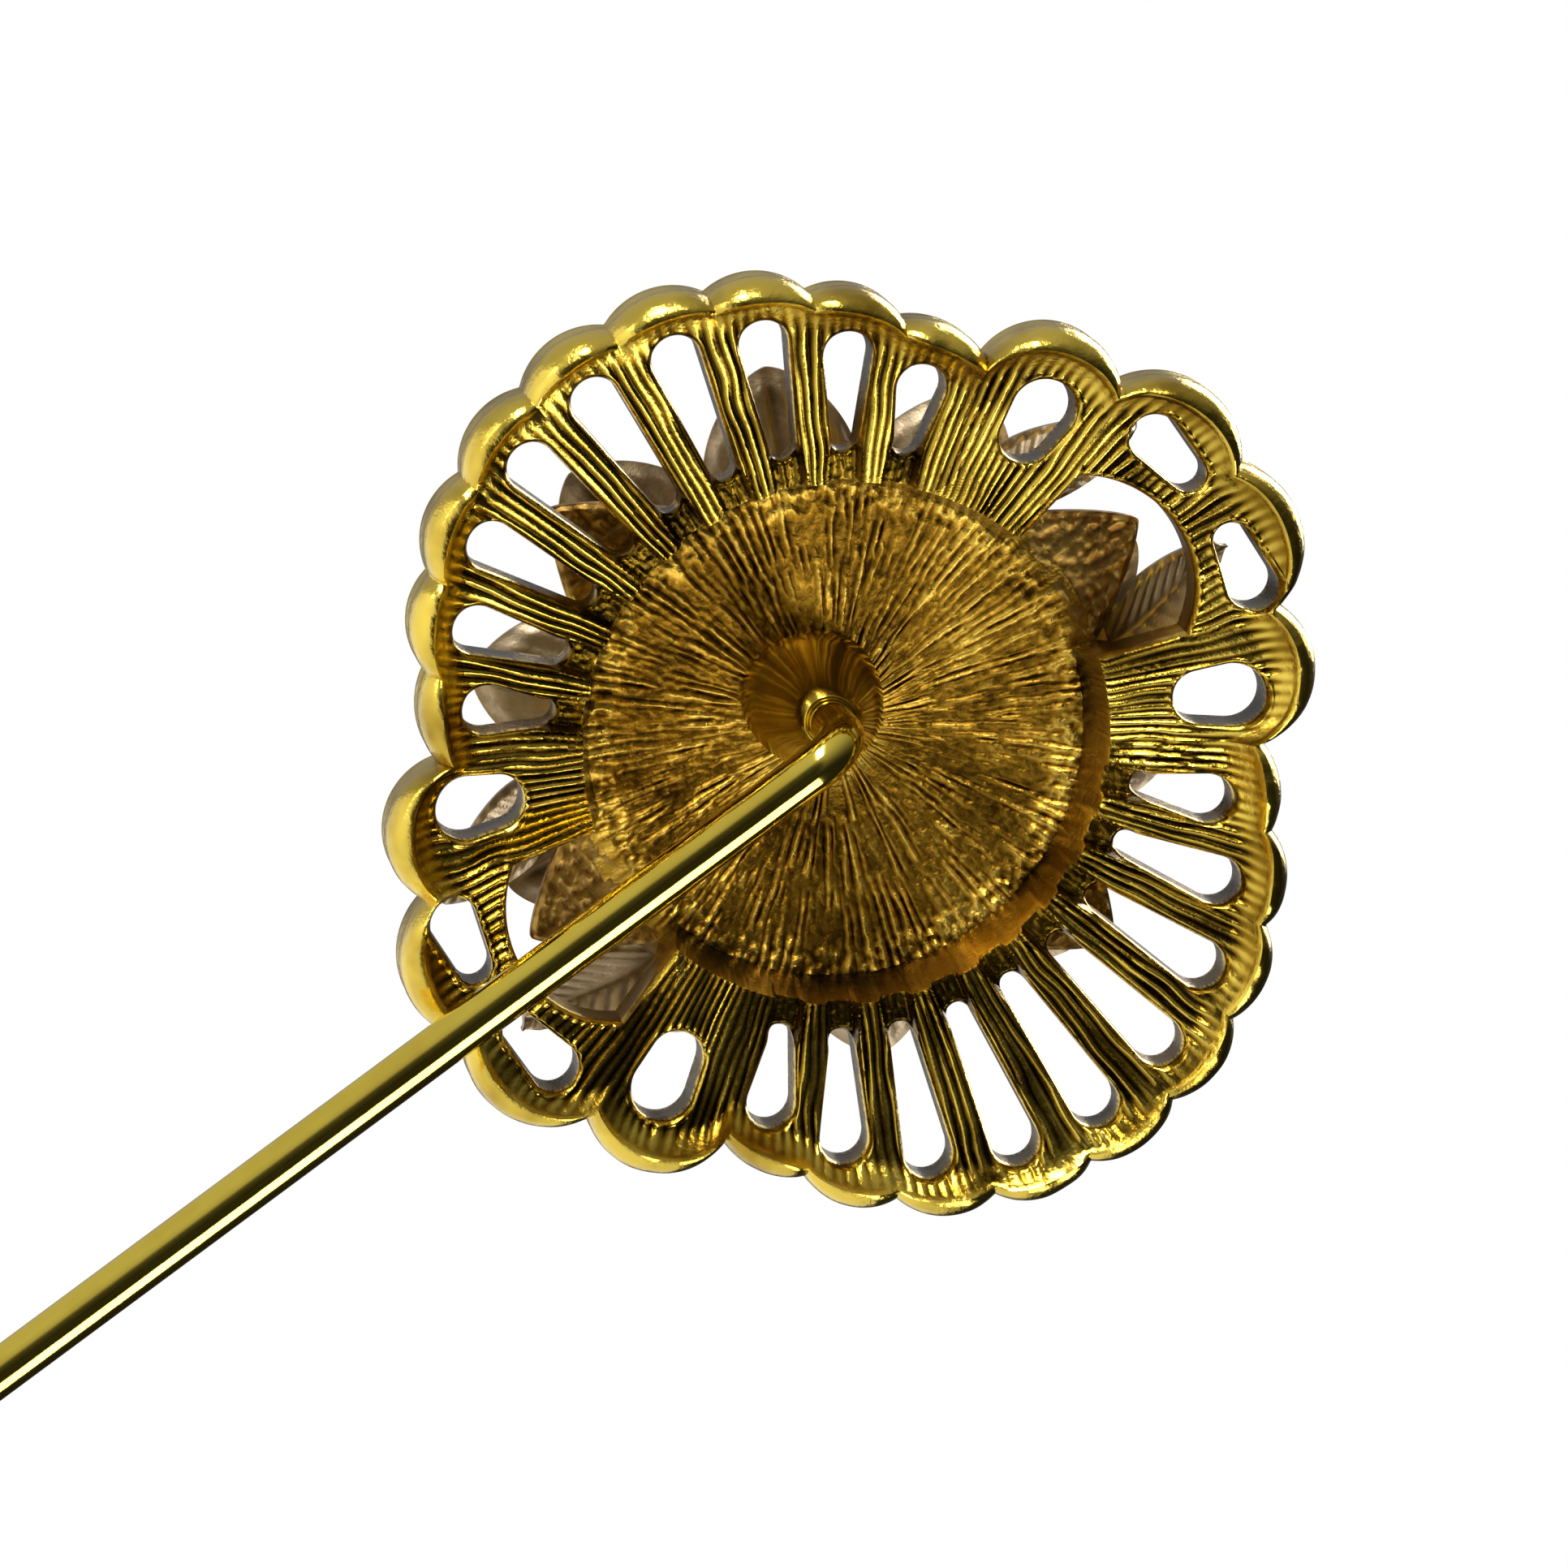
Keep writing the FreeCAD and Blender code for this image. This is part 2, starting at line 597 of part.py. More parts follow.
def main():
    """Build every piece from the sheet and write it."""
    fill_sheet()
    pieces = [make_frame(), make_dish()]
    pieces.append(make_leaf_spray("leaf_spray_upper", size("corner_turn")))
    pieces.append(make_leaf_spray("leaf_spray_lower", 180.0 + size("corner_turn")))
    pieces.append(make_flower("outer_petals", "outer_petal_count", "outer_petal", OUTER_START,
                              size("outer_petal_turn")))
    pieces.append(make_flower("inner_petals", "inner_petal_count", "inner_petal", INNER_START, 0.0))
    pieces += make_pearl_setting()
    pieces += [make_boss(), make_stem()]
    pieces += make_guard()
    doc.recompute()
    check_and_write(pieces)


main()
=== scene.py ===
"""Hat pin: cast openwork ornament with a petal front, on a bent wire stem with a slide-off guard.

Lengths in the helpers are millimetres and become metres when a mesh is made. The ornament is
worked out in plan: radius and angle from straight up about its own axis, and depth towards the
front. Everything stands in the frame's own axes.
"""
import math

import bmesh
import bpy
import numpy as np
from mathutils import Matrix, Vector


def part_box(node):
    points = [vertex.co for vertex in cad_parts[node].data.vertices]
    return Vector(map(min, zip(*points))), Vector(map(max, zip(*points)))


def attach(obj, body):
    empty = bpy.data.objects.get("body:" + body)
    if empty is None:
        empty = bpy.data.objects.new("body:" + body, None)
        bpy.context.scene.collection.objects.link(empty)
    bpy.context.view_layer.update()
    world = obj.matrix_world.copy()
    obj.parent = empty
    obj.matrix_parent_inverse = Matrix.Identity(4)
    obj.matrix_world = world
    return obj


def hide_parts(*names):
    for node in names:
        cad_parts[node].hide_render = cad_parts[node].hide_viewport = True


bl_info = {
    "name": "Hat Pin",
    "version": (1, 0, 0),
    "blender": (4, 5, 0),
    "location": "3D View > Sidebar > Hat Pin",
    "description": "Cast openwork hat pin with a petal front, wire stem and point guard",
    "category": "Object",
}

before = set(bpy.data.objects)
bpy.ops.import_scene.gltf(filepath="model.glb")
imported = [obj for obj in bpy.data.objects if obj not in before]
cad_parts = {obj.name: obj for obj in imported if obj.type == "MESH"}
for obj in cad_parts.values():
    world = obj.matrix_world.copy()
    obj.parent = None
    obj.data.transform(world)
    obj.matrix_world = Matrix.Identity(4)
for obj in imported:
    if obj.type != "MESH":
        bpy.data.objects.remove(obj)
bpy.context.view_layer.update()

MM = 0.001
PEARL_LOW, PEARL_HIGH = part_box("pearl")
AXIS_X = (PEARL_LOW.x + PEARL_HIGH.x) / 2.0 / MM
AXIS_Z = (PEARL_LOW.z + PEARL_HIGH.z) / 2.0 / MM
PIN = "pin"
GUARD = "guard"

# Frame plan, millimetres and degrees.
FAN_START = 36.0
FAN_STEP = 12.0
FAN_CELLS = 9
LOOP_STEP = 18.0
WAIST_RADIUS = 11.4
FAN_SWELL = 2.45
FAN_HALF_ANGLE = 54.0
FAN_SCALLOP = 0.42
LOOP_NOTCHES = (11.25, 12.2, 13.0, 12.2, 11.25)
LOOP_PEAKS = (12.8, 13.6, 13.6, 12.8)
TURN = -2.0
LEFT_SLOTS_TURN = -1.75
SLOTS_SQUEEZE = 0.035
SLOT_LAND = 1.2
SLOT_TIP = 0.66
RIB_PITCH = 1.5

# Frame section.
RECESS_RADIUS = 7.2
RECESS_DEPTH = 2.85
PLATE_REACH = 12.4
PLATE_DEPTH = 1.7
CREST_DEPTH = 1.2
CREST_INSET = 0.36
CREST_SWELL = 0.22
CREST_UNEVEN = 0.07
NOTCH_DROP = 0.26
RIM_FALL = 0.95
RIM_FOOT = 3.15
RIM_SLOPE = 0.85
COLLAR_FOOT_RADIUS = 6.8
COLLAR_FOOT_DEPTH = 4.75
COLLAR_OUT_RADIUS = 7.55
UNDER_RADIUS = 7.9
UNDER_DEPTH = 4.1
UNDER_RIM_DEPTH = 2.95
FOOT_TUCK = 0.06
OUTLINE_SLACK = 0.03

# Leaves: half the angle between a pair, how far each leans inward, where it starts and how long,
# wide and thick it is. The strap's half angle, its middle (radius, depth) and half its section.
LEAF_SPREAD = 20.0
LEAF_LEAN = 9.0
LEAF_ROOT = 6.9
LEAF_LENGTH = 5.0
LEAF_HALF_WIDTH = 1.08
LEAF_BACK = 5.42
LEAF_THICKNESS = 0.34
LEAF_STRAP = 29.0
STRAP_MIDDLE = (7.2, 5.75)
STRAP_HALF = (0.78, 0.36)

# Corner petals: where one starts, how long and wide it is, and its back and front.
CORNER_ROOT = 7.05
CORNER_LENGTH = 2.95
CORNER_HALF_WIDTH = 2.15
CORNER_BACK = 4.80
CORNER_FRONT = 5.35

# Lips of the slots and of the other holes.
SPOKE_ROLL = 0.30
HOLE_ROLL = 0.16

# A gap to the slot's middle that no fan cell reaches, and the gap given where there is no slot.
FAN_REACH_GAP = 5.0
FAR_GAP = 9.0

# Low ground between two spokes' inner ends: its depth, its sides and where it stops.
PIT_DEPTH = 0.5
PIT_SIDES = (0.34, 0.46)
PIT_REACH = (8.0, 8.5)

# Corner opening.
CORNER_HALF = 16.0
CORNER_SHOULDER = 9.6
CORNER_TOP = 10.6

# Points along a cell's sides: arc, side and rim of a fan cell; arc, free edge, side, rim and waist
# of a loop cell. Then the rows from hole to border.
FAN_COUNTS = (24, 44, 72)
LOOP_COUNTS = (80, 18, 34, 104, 40)
FAN_ROWS = 20
LOOP_ROWS = 28

# Recessed floor. A set of ridges has a count, two radii that it lives between and a seed. The
# front's rows are (radius, depth, darkening), the darkening being painted shade, most in the inner corner.
FLOOR_DEPTH = 5.55
FLOOR_PAD = 2.8
RIDGES = ((64, 0.8, 3.2, 21), (96, 2.4, 5.0, 22), (136, 4.2, 7.6, 23))
DISH_FRONT = ((7.2, 4.78, 0.3), (7.5, 4.8, 0.3), (7.55, 4.9, 0.2), (7.55, 5.25, 0.2),
              (7.45, 5.35, 0.3), (6.5, 5.35, 0.5), (6.4, 5.45, 0.4), (6.4, 6.05, 0.2),
              (6.3, 6.15, 0.1), (2.0, 6.15, 0.1), (0.0, 6.15, 0.1))
CORNER_PETALS = (TURN, 180.0 + TURN, 105.5, 285.5)

# Turned pieces: corners of (radius, depth) at the front, (radius, height) at the boss and guard.
PEARL_RADIUS = 2.5
PEARL_DEPTH = 10.45
CUP_PROFILE = ((0.6, 7.45), (1.6, 7.45), (1.72, 7.6), (1.95, 8.3), (2.08, 8.72),
               (2.0, 8.75), (1.8, 8.7), (1.3, 8.3), (0.6, 8.1), (0.6, 7.45))
RIVET_PROFILE = ((0.0, 6.16), (0.6, 6.16), (0.6, 7.94), (0.0, 7.94))
BOSS_PROFILE = ((0.0, -5.6), (2.12, -5.58), (1.95, -5.2), (1.66, -4.75), (1.4, -4.2), (1.16, -3.6),
                (0.95, -3.05), (0.7, -2.77), (0.58, -2.8), (0.4, -3.2), (0.0, -3.4))
SLEEVE_PROFILE = ((1.5, -97.2), (2.08, -97.2), (2.08, -96.5), (1.95, -96.4), (1.95, -96.1),
                  (2.08, -96.0), (2.08, -95.4), (2.0, -95.2), (2.0, -86.0), (2.08, -85.8),
                  (2.08, -85.3), (1.96, -85.2), (1.96, -85.0), (2.08, -84.9), (2.08, -84.0),
                  (1.85, -83.7), (1.5, -83.7), (1.5, -97.2))
LINER_PROFILE = ((0.32, -91.0), (1.49, -91.0), (1.49, -84.0), (0.7, -84.0), (0.63, -84.1), (0.32, -91.0))
CAP_PLUG = ((2.06, -97.21), (1.49, -97.21), (1.49, -96.05), (0.0, -96.05))

# Wire: radius, bend, straight run and ground point.
WIRE_RADIUS = 0.622
BEND_RADIUS = 1.2
FOOT_DEPTH = 4.9
STRAIGHT = 83.0
POINT_LENGTH = 12.0
POINT_RADIUS = 0.07

# Points nearer than this are one, in metres.
WELD = 4e-7


# ---------------------------------------------------------------- plain helpers

def smooth(value, low, high):
    """Rise from 0 at low to 1 at high along a cubic with level ends."""
    share = np.clip((value - low) / (high - low), 0.0, 1.0)
    return share * share * (3.0 - 2.0 * share)


def lumps(across, along, pitch, seed):
    """Smooth random heights from -1 to 1: a lattice of random values, blended by cubics."""
    table = np.random.default_rng(seed).uniform(-1.0, 1.0, (64, 64))
    cell_u = np.floor(across / pitch)
    cell_v = np.floor(along / pitch)
    part_u = across / pitch - cell_u
    part_v = along / pitch - cell_v
    part_u = part_u * part_u * (3.0 - 2.0 * part_u)
    part_v = part_v * part_v * (3.0 - 2.0 * part_v)
    u0, v0 = cell_u.astype(int) % 64, cell_v.astype(int) % 64
    u1, v1 = (u0 + 1) % 64, (v0 + 1) % 64
    near = table[u0, v0] * (1.0 - part_u) + table[u1, v0] * part_u
    far = table[u0, v1] * (1.0 - part_u) + table[u1, v1] * part_u
    return near * (1.0 - part_v) + far * part_v


def plan(radius, angle):
    """Plan coordinates (right, up) of a radius and an angle in degrees from straight up."""
    turn = np.radians(angle)
    return np.stack(np.broadcast_arrays(radius * np.sin(turn), radius * np.cos(turn)), -1)


def polar(points):
    """Radius and angle in degrees of plan points."""
    return np.hypot(points[..., 0], points[..., 1]), np.degrees(np.arctan2(points[..., 0], points[..., 1]))


def stand(points, depth):
    """Points of the shared frame in metres: plan right is +X, plan up is +Z, depth is towards -Y."""
    depth = np.broadcast_to(depth, points.shape[:-1])
    return np.stack([AXIS_X + points[..., 0], -depth, AXIS_Z + points[..., 1]], -1) * MM


def swing(side, along, angle):
    """Plan points at distances across and along a line that leaves the centre at an angle."""
    turn = np.radians(angle)
    return np.stack([side * np.cos(turn) + along * np.sin(turn),
                     -side * np.sin(turn) + along * np.cos(turn)], -1)


def two_faces(back_count, front_count):
    """Places from -1 to 1 over a blade's back and home over its front, and which are on the back."""
    across = np.concatenate([np.linspace(-1.0, 1.0, back_count), np.linspace(1.0, -1.0, front_count)])
    return across[None, :], (np.arange(len(across)) < back_count)[None, :]


def stand_rows(rows, angle):
    """Points in metres of profile rows (radius, depth, darkening by patina and painted shade) at some
    angles.
    """
    return np.array([stand(plan(radius, angle), depth) for radius, depth, _ in rows])


class Shell:
    """Collects grids of points into one closed mesh with a darkening value at each point: patina in
    recesses together with painted shade.
    """

    def __init__(self):
        self.points = []
        self.hollow = []
        self.faces = []
        self.count = 0

    def _keep(self, points, hollow):
        flat = points.reshape(-1, 3)
        self.points.append(flat)
        self.hollow.append(np.broadcast_to(hollow, points.shape[:-1]).reshape(-1))
        start = self.count
        self.count += len(flat)
        return start

    def grid(self, points, hollow=0.0, around=False, over=False):
        """Add quads between neighbours of a grid, closed along its second or first index."""
        rows, columns = points.shape[:2]
        index = self._keep(points, hollow) + np.arange(rows * columns).reshape(rows, columns)
        if around:
            index = np.concatenate([index, index[:, :1]], 1)
        if over:
            index = np.concatenate([index, index[:1]], 0)
        corners = [index[:-1, :-1], index[:-1, 1:], index[1:, 1:], index[1:, :-1]]
        self.faces += np.stack(corners, -1).reshape(-1, 4).tolist()

    def cap(self, points, hollow=0.0):
        """Add one flat face through a ring of points."""
        start = self._keep(points, hollow)
        self.faces.append(list(range(start, start + len(points))))

    def tube(self, points, hollow=0.0, end_patina_and_shade=0.0):
        """Add a grid closed along its second index, with a flat face at both ends."""
        self.grid(points, hollow, around=True)
        self.cap(points[0], end_patina_and_shade)
        self.cap(points[-1], end_patina_and_shade)

    def strip(self, rows, angle):
        """Add a strip of profile rows (radius, depth, darkening by patina and painted shade) worked out at
        some angles.
        """
        hollow = [np.full(np.shape(angle), value) for _, _, value in rows]
        self.grid(stand_rows(rows, angle), np.array(hollow))

    def build(self, name, sharp=40.0):
        """Weld the grids, turn the faces outwards and give the finished object."""
        mesh = bpy.data.meshes.new(name)
        mesh.from_pydata(np.concatenate(self.points), [], self.faces)
        # darkening per point for the metals: patina in recesses together with painted shade
        layer = mesh.attributes.new("hollow", "FLOAT", "POINT")
        layer.data.foreach_set("value", np.concatenate(self.hollow).astype(np.float32))
        work = bmesh.new()
        work.from_mesh(mesh)
        bmesh.ops.remove_doubles(work, verts=work.verts, dist=WELD)
        bmesh.ops.dissolve_degenerate(work, edges=work.edges, dist=WELD)
        bmesh.ops.recalc_face_normals(work, faces=work.faces)
        work.to_mesh(mesh)
        work.free()
        mesh.shade_smooth()
        mesh.set_sharp_from_angle(angle=math.radians(sharp))
        item = bpy.data.objects.new(name, mesh)
        bpy.context.scene.collection.objects.link(item)
        return item


def settle(item, body, node, slot, finish):
    """Ride a piece on its body in place of its node, and give it its finish."""
    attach(item, body)
    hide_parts(node)
    item.data.materials.append(finish)
    return item


# ---------------------------------------------------------------- frame outline

def lobe_table():
    """Edges, notch and peak radii of the 26 lobes, from the first loop clockwise."""
    edges, notches, peaks = [], [], []
    for side in (0.0, 180.0):
        for step in range(4):
            edges.append(side - FAN_START + LOOP_STEP * step)
            notches.append(LOOP_NOTCHES[step])
            peaks.append(LOOP_PEAKS[step])
        for step in range(FAN_CELLS):
            start = FAN_START + FAN_STEP * step
            edges.append(side + start)
            inner = fan_reach(start) - FAN_SCALLOP
            notches.append(LOOP_NOTCHES[4] if step == 0 else inner)
            peaks.append(fan_reach(start + FAN_STEP / 2.0))
    edges.append(360.0 - FAN_START)
    notches.append(notches[0])
    return np.array(edges), np.array(notches), np.array(peaks)


def fan_reach(angle):
    """Lobe radius in a fan: a cosine swell, largest on the fan's middle line."""
    across = abs(90.0 - angle % 180.0) / FAN_HALF_ANGLE
    return WAIST_RADIUS + FAN_SWELL * math.cos(math.radians(90.0 * across))


EDGES, NOTCHES, PEAKS = lobe_table()


def lobe_circles():
    """Centre and radius of the circle through each lobe's two notches and its peak."""
    first = plan(NOTCHES[:-1], EDGES[:-1])
    peak = plan(PEAKS, (EDGES[:-1] + EDGES[1:]) / 2.0)
    last = plan(NOTCHES[1:], EDGES[1:])
    one, two = peak - first, last - first
    cross = 2.0 * (one[:, 0] * two[:, 1] - one[:, 1] * two[:, 0])
    one_sq, two_sq = (one ** 2).sum(1), (two ** 2).sum(1)
    right = (two[:, 1] * one_sq - one[:, 1] * two_sq) / cross
    up = (one[:, 0] * two_sq - two[:, 0] * one_sq) / cross
    return first + np.stack([right, up], -1), np.hypot(right, up)


CENTRES, RADII = lobe_circles()


def lobe_at(angle):
    """Lobe index of an angle and how far across the lobe it is, 0 to 1."""
    turned = (angle + FAN_START) % 360.0 - FAN_START
    index = np.clip(np.searchsorted(EDGES, turned, side="right") - 1, 0, len(PEAKS) - 1)
    return index, (turned - EDGES[index]) / (EDGES[index + 1] - EDGES[index])


def outline(angle):
    """Outer radius: where the ray at this angle leaves its lobe's circle."""
    index, _ = lobe_at(angle)
    ray = plan(1.0, angle)
    along = (CENTRES[index] * ray).sum(-1)
    return along + np.sqrt(RADII[index] ** 2 - (CENTRES[index] ** 2).sum(-1) + along ** 2) - OUTLINE_SLACK


def crest_radius(angle):
    """The crest keeps in from the outline, more at a lobe's peak than at its notches."""
    _, share = lobe_at(angle)
    return outline(angle) - CREST_INSET - CREST_SWELL * np.sin(math.pi * share)


def crest_depth(angle):
    """Crest depth: greatest at the notches, and a little uneven all round."""
    _, share = lobe_at(angle)
    drop = NOTCH_DROP * (1.0 - np.sin(math.pi * share)) ** 2
    uneven = CREST_UNEVEN * (0.5 + lumps(angle * 0.33, np.zeros_like(share), 1.0, 51))
    return CREST_DEPTH + drop + np.clip(uneven, 0.0, 2.0 * CREST_UNEVEN)


def foot_radius(angle):
    """Radius of the rim's lower edge."""
    return outline(angle) - FOOT_TUCK


def corner_arc(away):
    """Radius of the corner opening's top at an angle away from its middle: one circle's arc."""
    half = math.radians(CORNER_HALF)
    side, rise = CORNER_SHOULDER * math.sin(half), CORNER_TOP - CORNER_SHOULDER * math.cos(half)
    radius = (side ** 2 + rise ** 2) / (2.0 * rise)
    centre = CORNER_TOP - radius
    turn = np.radians(away)
    return centre * np.cos(turn) + np.sqrt(np.maximum(radius ** 2 - (centre * np.sin(turn)) ** 2, 0.0))


def corner_gap(radius, angle):
    """Distance out from the nearer corner opening's edge."""
    away = np.abs((angle - TURN + 90.0) % 180.0 - 90.0)
    beside = radius * np.sin(np.radians(np.clip(away - CORNER_HALF, -30.0, 60.0)))
    above = radius - corner_arc(np.minimum(away, CORNER_HALF))
    return np.maximum(beside, np.where(away < CORNER_HALF + 6.0, above, 0.0))


# ---------------------------------------------------------------- frame relief

def ribs(radius, angle):
    """Radial ribs 0 to 1: a cosine of the angle with a slow waver, sharpened at the valleys."""
    waver = 0.3 * lumps(radius * 1.1, angle * 0.22, 1.0, 5)
    wave = 0.5 + 0.5 * np.cos(2.0 * math.pi * (angle / RIB_PITCH + waver))
    return wave ** 0.75


def top_relief(points, hole_gap, slot_gap):
    """Depth and darkening of the frame's back; the darkening is patina in the rib grooves with painted
    shade.

    A cone falls from the rim to the recess and the rim's crest rises on it. Ribs lie on both, fade at
    the crest and at the openings' rounded lips. Between two spokes' inner ends the metal is lower.
    """
    radius, angle = polar(points)
    right, up = points[..., 0], points[..., 1]
    cone = np.interp(radius, (RECESS_RADIUS, PLATE_REACH), (RECESS_DEPTH, PLATE_DEPTH))
    inside = np.maximum(crest_radius(angle) - radius, 0.0)
    climb = np.clip(1.0 - inside / RIM_SLOPE, 0.0, 1.0) ** 1.7
    depth = cone + (crest_depth(angle) - cone) * climb + 0.06 * smooth(inside, 0.07, 0.14) * climb
    near_slot = 1.0 - smooth(np.abs(slot_gap), *PIT_SIDES)
    low = PIT_DEPTH * near_slot * (1.0 - smooth(radius, *PIT_REACH))
    edge = np.minimum(hole_gap, np.maximum(corner_gap(radius, angle), 0.0))
    strength = 0.25 * smooth(inside, 0.10, 0.2) + 0.75 * smooth(inside, 0.3, 0.8)
    strength = strength * smooth(edge, 0.03, 0.14) * (1.0 - low * 1.6)
    uneven = np.clip(0.7 + 0.9 * lumps(angle * 0.5, radius * 0.35, 1.0, 7), 0.15, 1.3)
    valley = 1.0 - ribs(radius, angle)
    depth = depth + setting("rib_height") * strength * uneven * valley
    roll = np.where(np.abs(slot_gap) < FAN_REACH_GAP, SPOKE_ROLL, HOLE_ROLL)
    turn_in = 1.0 - np.clip(edge / roll, 0.0, 1.0)
    depth = depth + roll * (1.0 - np.sqrt(np.maximum(1.0 - turn_in ** 2, 0.0)))
    depth = depth - 0.04 * np.exp(-((edge - 0.12) / 0.06) ** 2)
    depth = depth + low + 0.02 * lumps(right, up, 1.1, 11) * smooth(inside, 0.0, 0.3)
    depth = depth + 0.05 * low * lumps(right, up, 0.13, 12)
    crease = (1.0 - smooth(inside, 0.0, 0.5)) * smooth(inside, 0.05, 0.12)
    # painted shade with patina: darker in rib valleys; painted shade on the low ground between spokes'
    # inner ends and in the crease inside the crest
    hollow = 1.05 * strength * valley + 1.2 * low + 0.25 * crease
    return depth, np.clip(hollow, 0.0, 1.0)


def under_depth(radius, angle):
    """Depth of the frame's underside: a cone that meets the rim's foot."""
    cone = np.interp(radius, (UNDER_RADIUS, PLATE_REACH), (UNDER_DEPTH, UNDER_RIM_DEPTH))
    return cone + (RIM_FOOT - cone) * (1.0 - smooth(foot_radius(angle) - radius, 0.0, 0.9))


def hole_edge(points, hole):
    """Nearest points on the edge of a hole with two round ends joined by their tangents."""
    near, near_radius, far, far_radius = hole
    along = far - near
    length = np.hypot(*along)
    along = along / length
    across = np.array([-along[1], along[0]])
    lean = math.asin((near_radius - far_radius) / length)
    sine, cosine = math.sin(lean), math.cos(lean)
    local = points - near
    x, y = local @ along, local @ across
    side = np.where(y < 0.0, -1.0, 1.0)
    height = np.abs(y)
    run = (x - near_radius * sine) * cosine - (height - near_radius * cosine) * sine
    straight = length * cosine
    held = np.clip(run, 0.0, straight)
    edge_x = near_radius * sine + held * cosine
    edge_y = near_radius * cosine - held * sine
    back = np.maximum(np.hypot(x, height), 1e-9)
    front = np.maximum(np.hypot(x - length, height), 1e-9)
    edge_x = np.where(run < 0.0, near_radius * x / back, edge_x)
    edge_y = np.where(run < 0.0, near_radius * height / back, edge_y)
    edge_x = np.where(run > straight, length + far_radius * (x - length) / front, edge_x)
    edge_y = np.where(run > straight, far_radius * height / front, edge_y)
    return near + edge_x[..., None] * along + (edge_y * side)[..., None] * across


# ---------------------------------------------------------------- frame cells

def side_line(inner_angle, outer_angle, start, stop, count):
    """Radius and angle along a cell's side, which may swing to another angle near the rim."""
    radius = np.linspace(start, stop, count + 1)
    return radius, inner_angle + (outer_angle - inner_angle) * smooth(radius, 10.2, 11.4)


def fan_cells(side, slots_turn):
    """A fan's cells as (sides, hole, slot angle): slots a little closer than lobes, borders half way."""
    middles = FAN_START + FAN_STEP * (np.arange(FAN_CELLS) + 0.5)
    slots = side + 90.0 + (middles - 90.0) * (1.0 - SLOTS_SQUEEZE) + slots_turn
    between = (slots[1:] + slots[:-1]) / 2.0
    borders = np.concatenate([[side + FAN_START], between, [side + 180.0 - FAN_START]])
    cells = []
    for number, slot in enumerate(slots):
        reach = fan_reach(middles[number]) - SLOT_LAND - SLOT_TIP
        cells.append(fan_cell(borders[number], borders[number + 1], slot, reach))
    return cells


def fan_cell(start, stop, slot, reach):
    """One fan cell as (sides, hole, slot angle), its sides being (top, under, kind)."""
    hole = (plan(8.36, slot), 0.36, plan(reach, slot), SLOT_TIP)
    sides = ring_of_sides([("arc", start, stop, FAN_COUNTS[0])],
                          [(stop, stop, RECESS_RADIUS, None, FAN_COUNTS[1], False)],
                          (start, stop, FAN_COUNTS[2]),
                          [(start, start, RECESS_RADIUS, None, FAN_COUNTS[1], False)])
    return sides, hole, slot


def ring_of_sides(inner, right, outer, left):
    """A cell's border, once round: inner arc, right side, outer arc, left side."""
    sides = []
    for kind, start, stop, count in inner:
        angle = np.linspace(start, stop, count + 1)
        if kind == "arc":
            top = (np.full(count + 1, RECESS_RADIUS), angle)
            under = (np.full(count + 1, UNDER_RADIUS), angle)
        else:
            away = np.abs((angle - TURN + 90.0) % 180.0 - 90.0)
            top = (corner_arc(away), angle)
            under = top
        sides.append((top, under, kind))
    for run in right:
        sides.append(side_of(run, False))
    start, stop, count = outer
    angle = np.linspace(stop, start, count + 1)
    sides.append(((crest_radius(angle), angle), (foot_radius(angle), angle), "rim"))
    for run in reversed(left):
        sides.append(side_of(run, True))
    return sides


def side_of(run, inward):
    """One radial side from its inner to its outer end, or back again."""
    inner_angle, outer_angle, start, stop, count, free = run
    top_stop = crest_radius(np.array(outer_angle)) if stop is None else stop
    under_start = UNDER_RADIUS if start == RECESS_RADIUS else start
    under_stop = foot_radius(np.array(outer_angle)) if stop is None else stop
    top = side_line(inner_angle, outer_angle, start, top_stop, count)
    under = side_line(inner_angle, outer_angle, under_start, under_stop, count)
    if inward:
        top = tuple(part[::-1] for part in top)
        under = tuple(part[::-1] for part in under)
    return top, under, "free" if free else "side"


def loop_cells(side):
    """Four loop cells of one end: two shoulders beside the corner opening, two above it."""
    narrow, free, shared, rim, waist = LOOP_COUNTS
    west, east = side + TURN - CORNER_HALF, side + TURN + CORNER_HALF
    west_rim, east_rim = side - 20.5, side + 17.0
    middle = side + TURN
    low, high = side - FAN_START, side + FAN_START
    west_side = [(west, west_rim, CORNER_SHOULDER, None, shared, False)]
    east_side = [(east, east_rim, CORNER_SHOULDER, None, shared, False)]
    west_free = [(west, west_rim, RECESS_RADIUS, CORNER_SHOULDER, free, True)]
    east_free = [(east, east_rim, RECESS_RADIUS, CORNER_SHOULDER, free, True)]
    centre_side = [(middle, middle, CORNER_TOP, None, shared, False)]
    cells = [
        (ring_of_sides([("arc", low, west, narrow)], west_free + west_side, (low, west_rim, rim),
                       [(low, low, RECESS_RADIUS, None, waist, False)]), shoulder_hole(side - 27.0)),
        (ring_of_sides([("top", west, middle, narrow)], centre_side, (west_rim, middle, rim), west_side),
         loop_hole(side, -1.0)),
        (ring_of_sides([("top", middle, east, narrow)], east_side, (middle, east_rim, rim), centre_side),
         loop_hole(side, 1.0)),
        (ring_of_sides([("arc", east, high, narrow)], [(high, high, RECESS_RADIUS, None, waist, False)],
                       (east_rim, high, rim), east_free + east_side), shoulder_hole(side + 27.0)),
    ]
    return [(sides, hole, None) for sides, hole in cells]


def shoulder_hole(angle):
    """Hole in a shoulder loop, along the radius."""
    return plan(9.65, angle + TURN), 0.74, plan(10.5, angle + TURN), 0.86


def loop_hole(side, hand):
    """Hole in a loop above the corner opening, set across the radius."""
    middle = side + TURN + 9.0 * hand
    return plan(11.65, middle - 3.6 * hand), 0.48, plan(11.65, middle + 3.2 * hand), 0.66


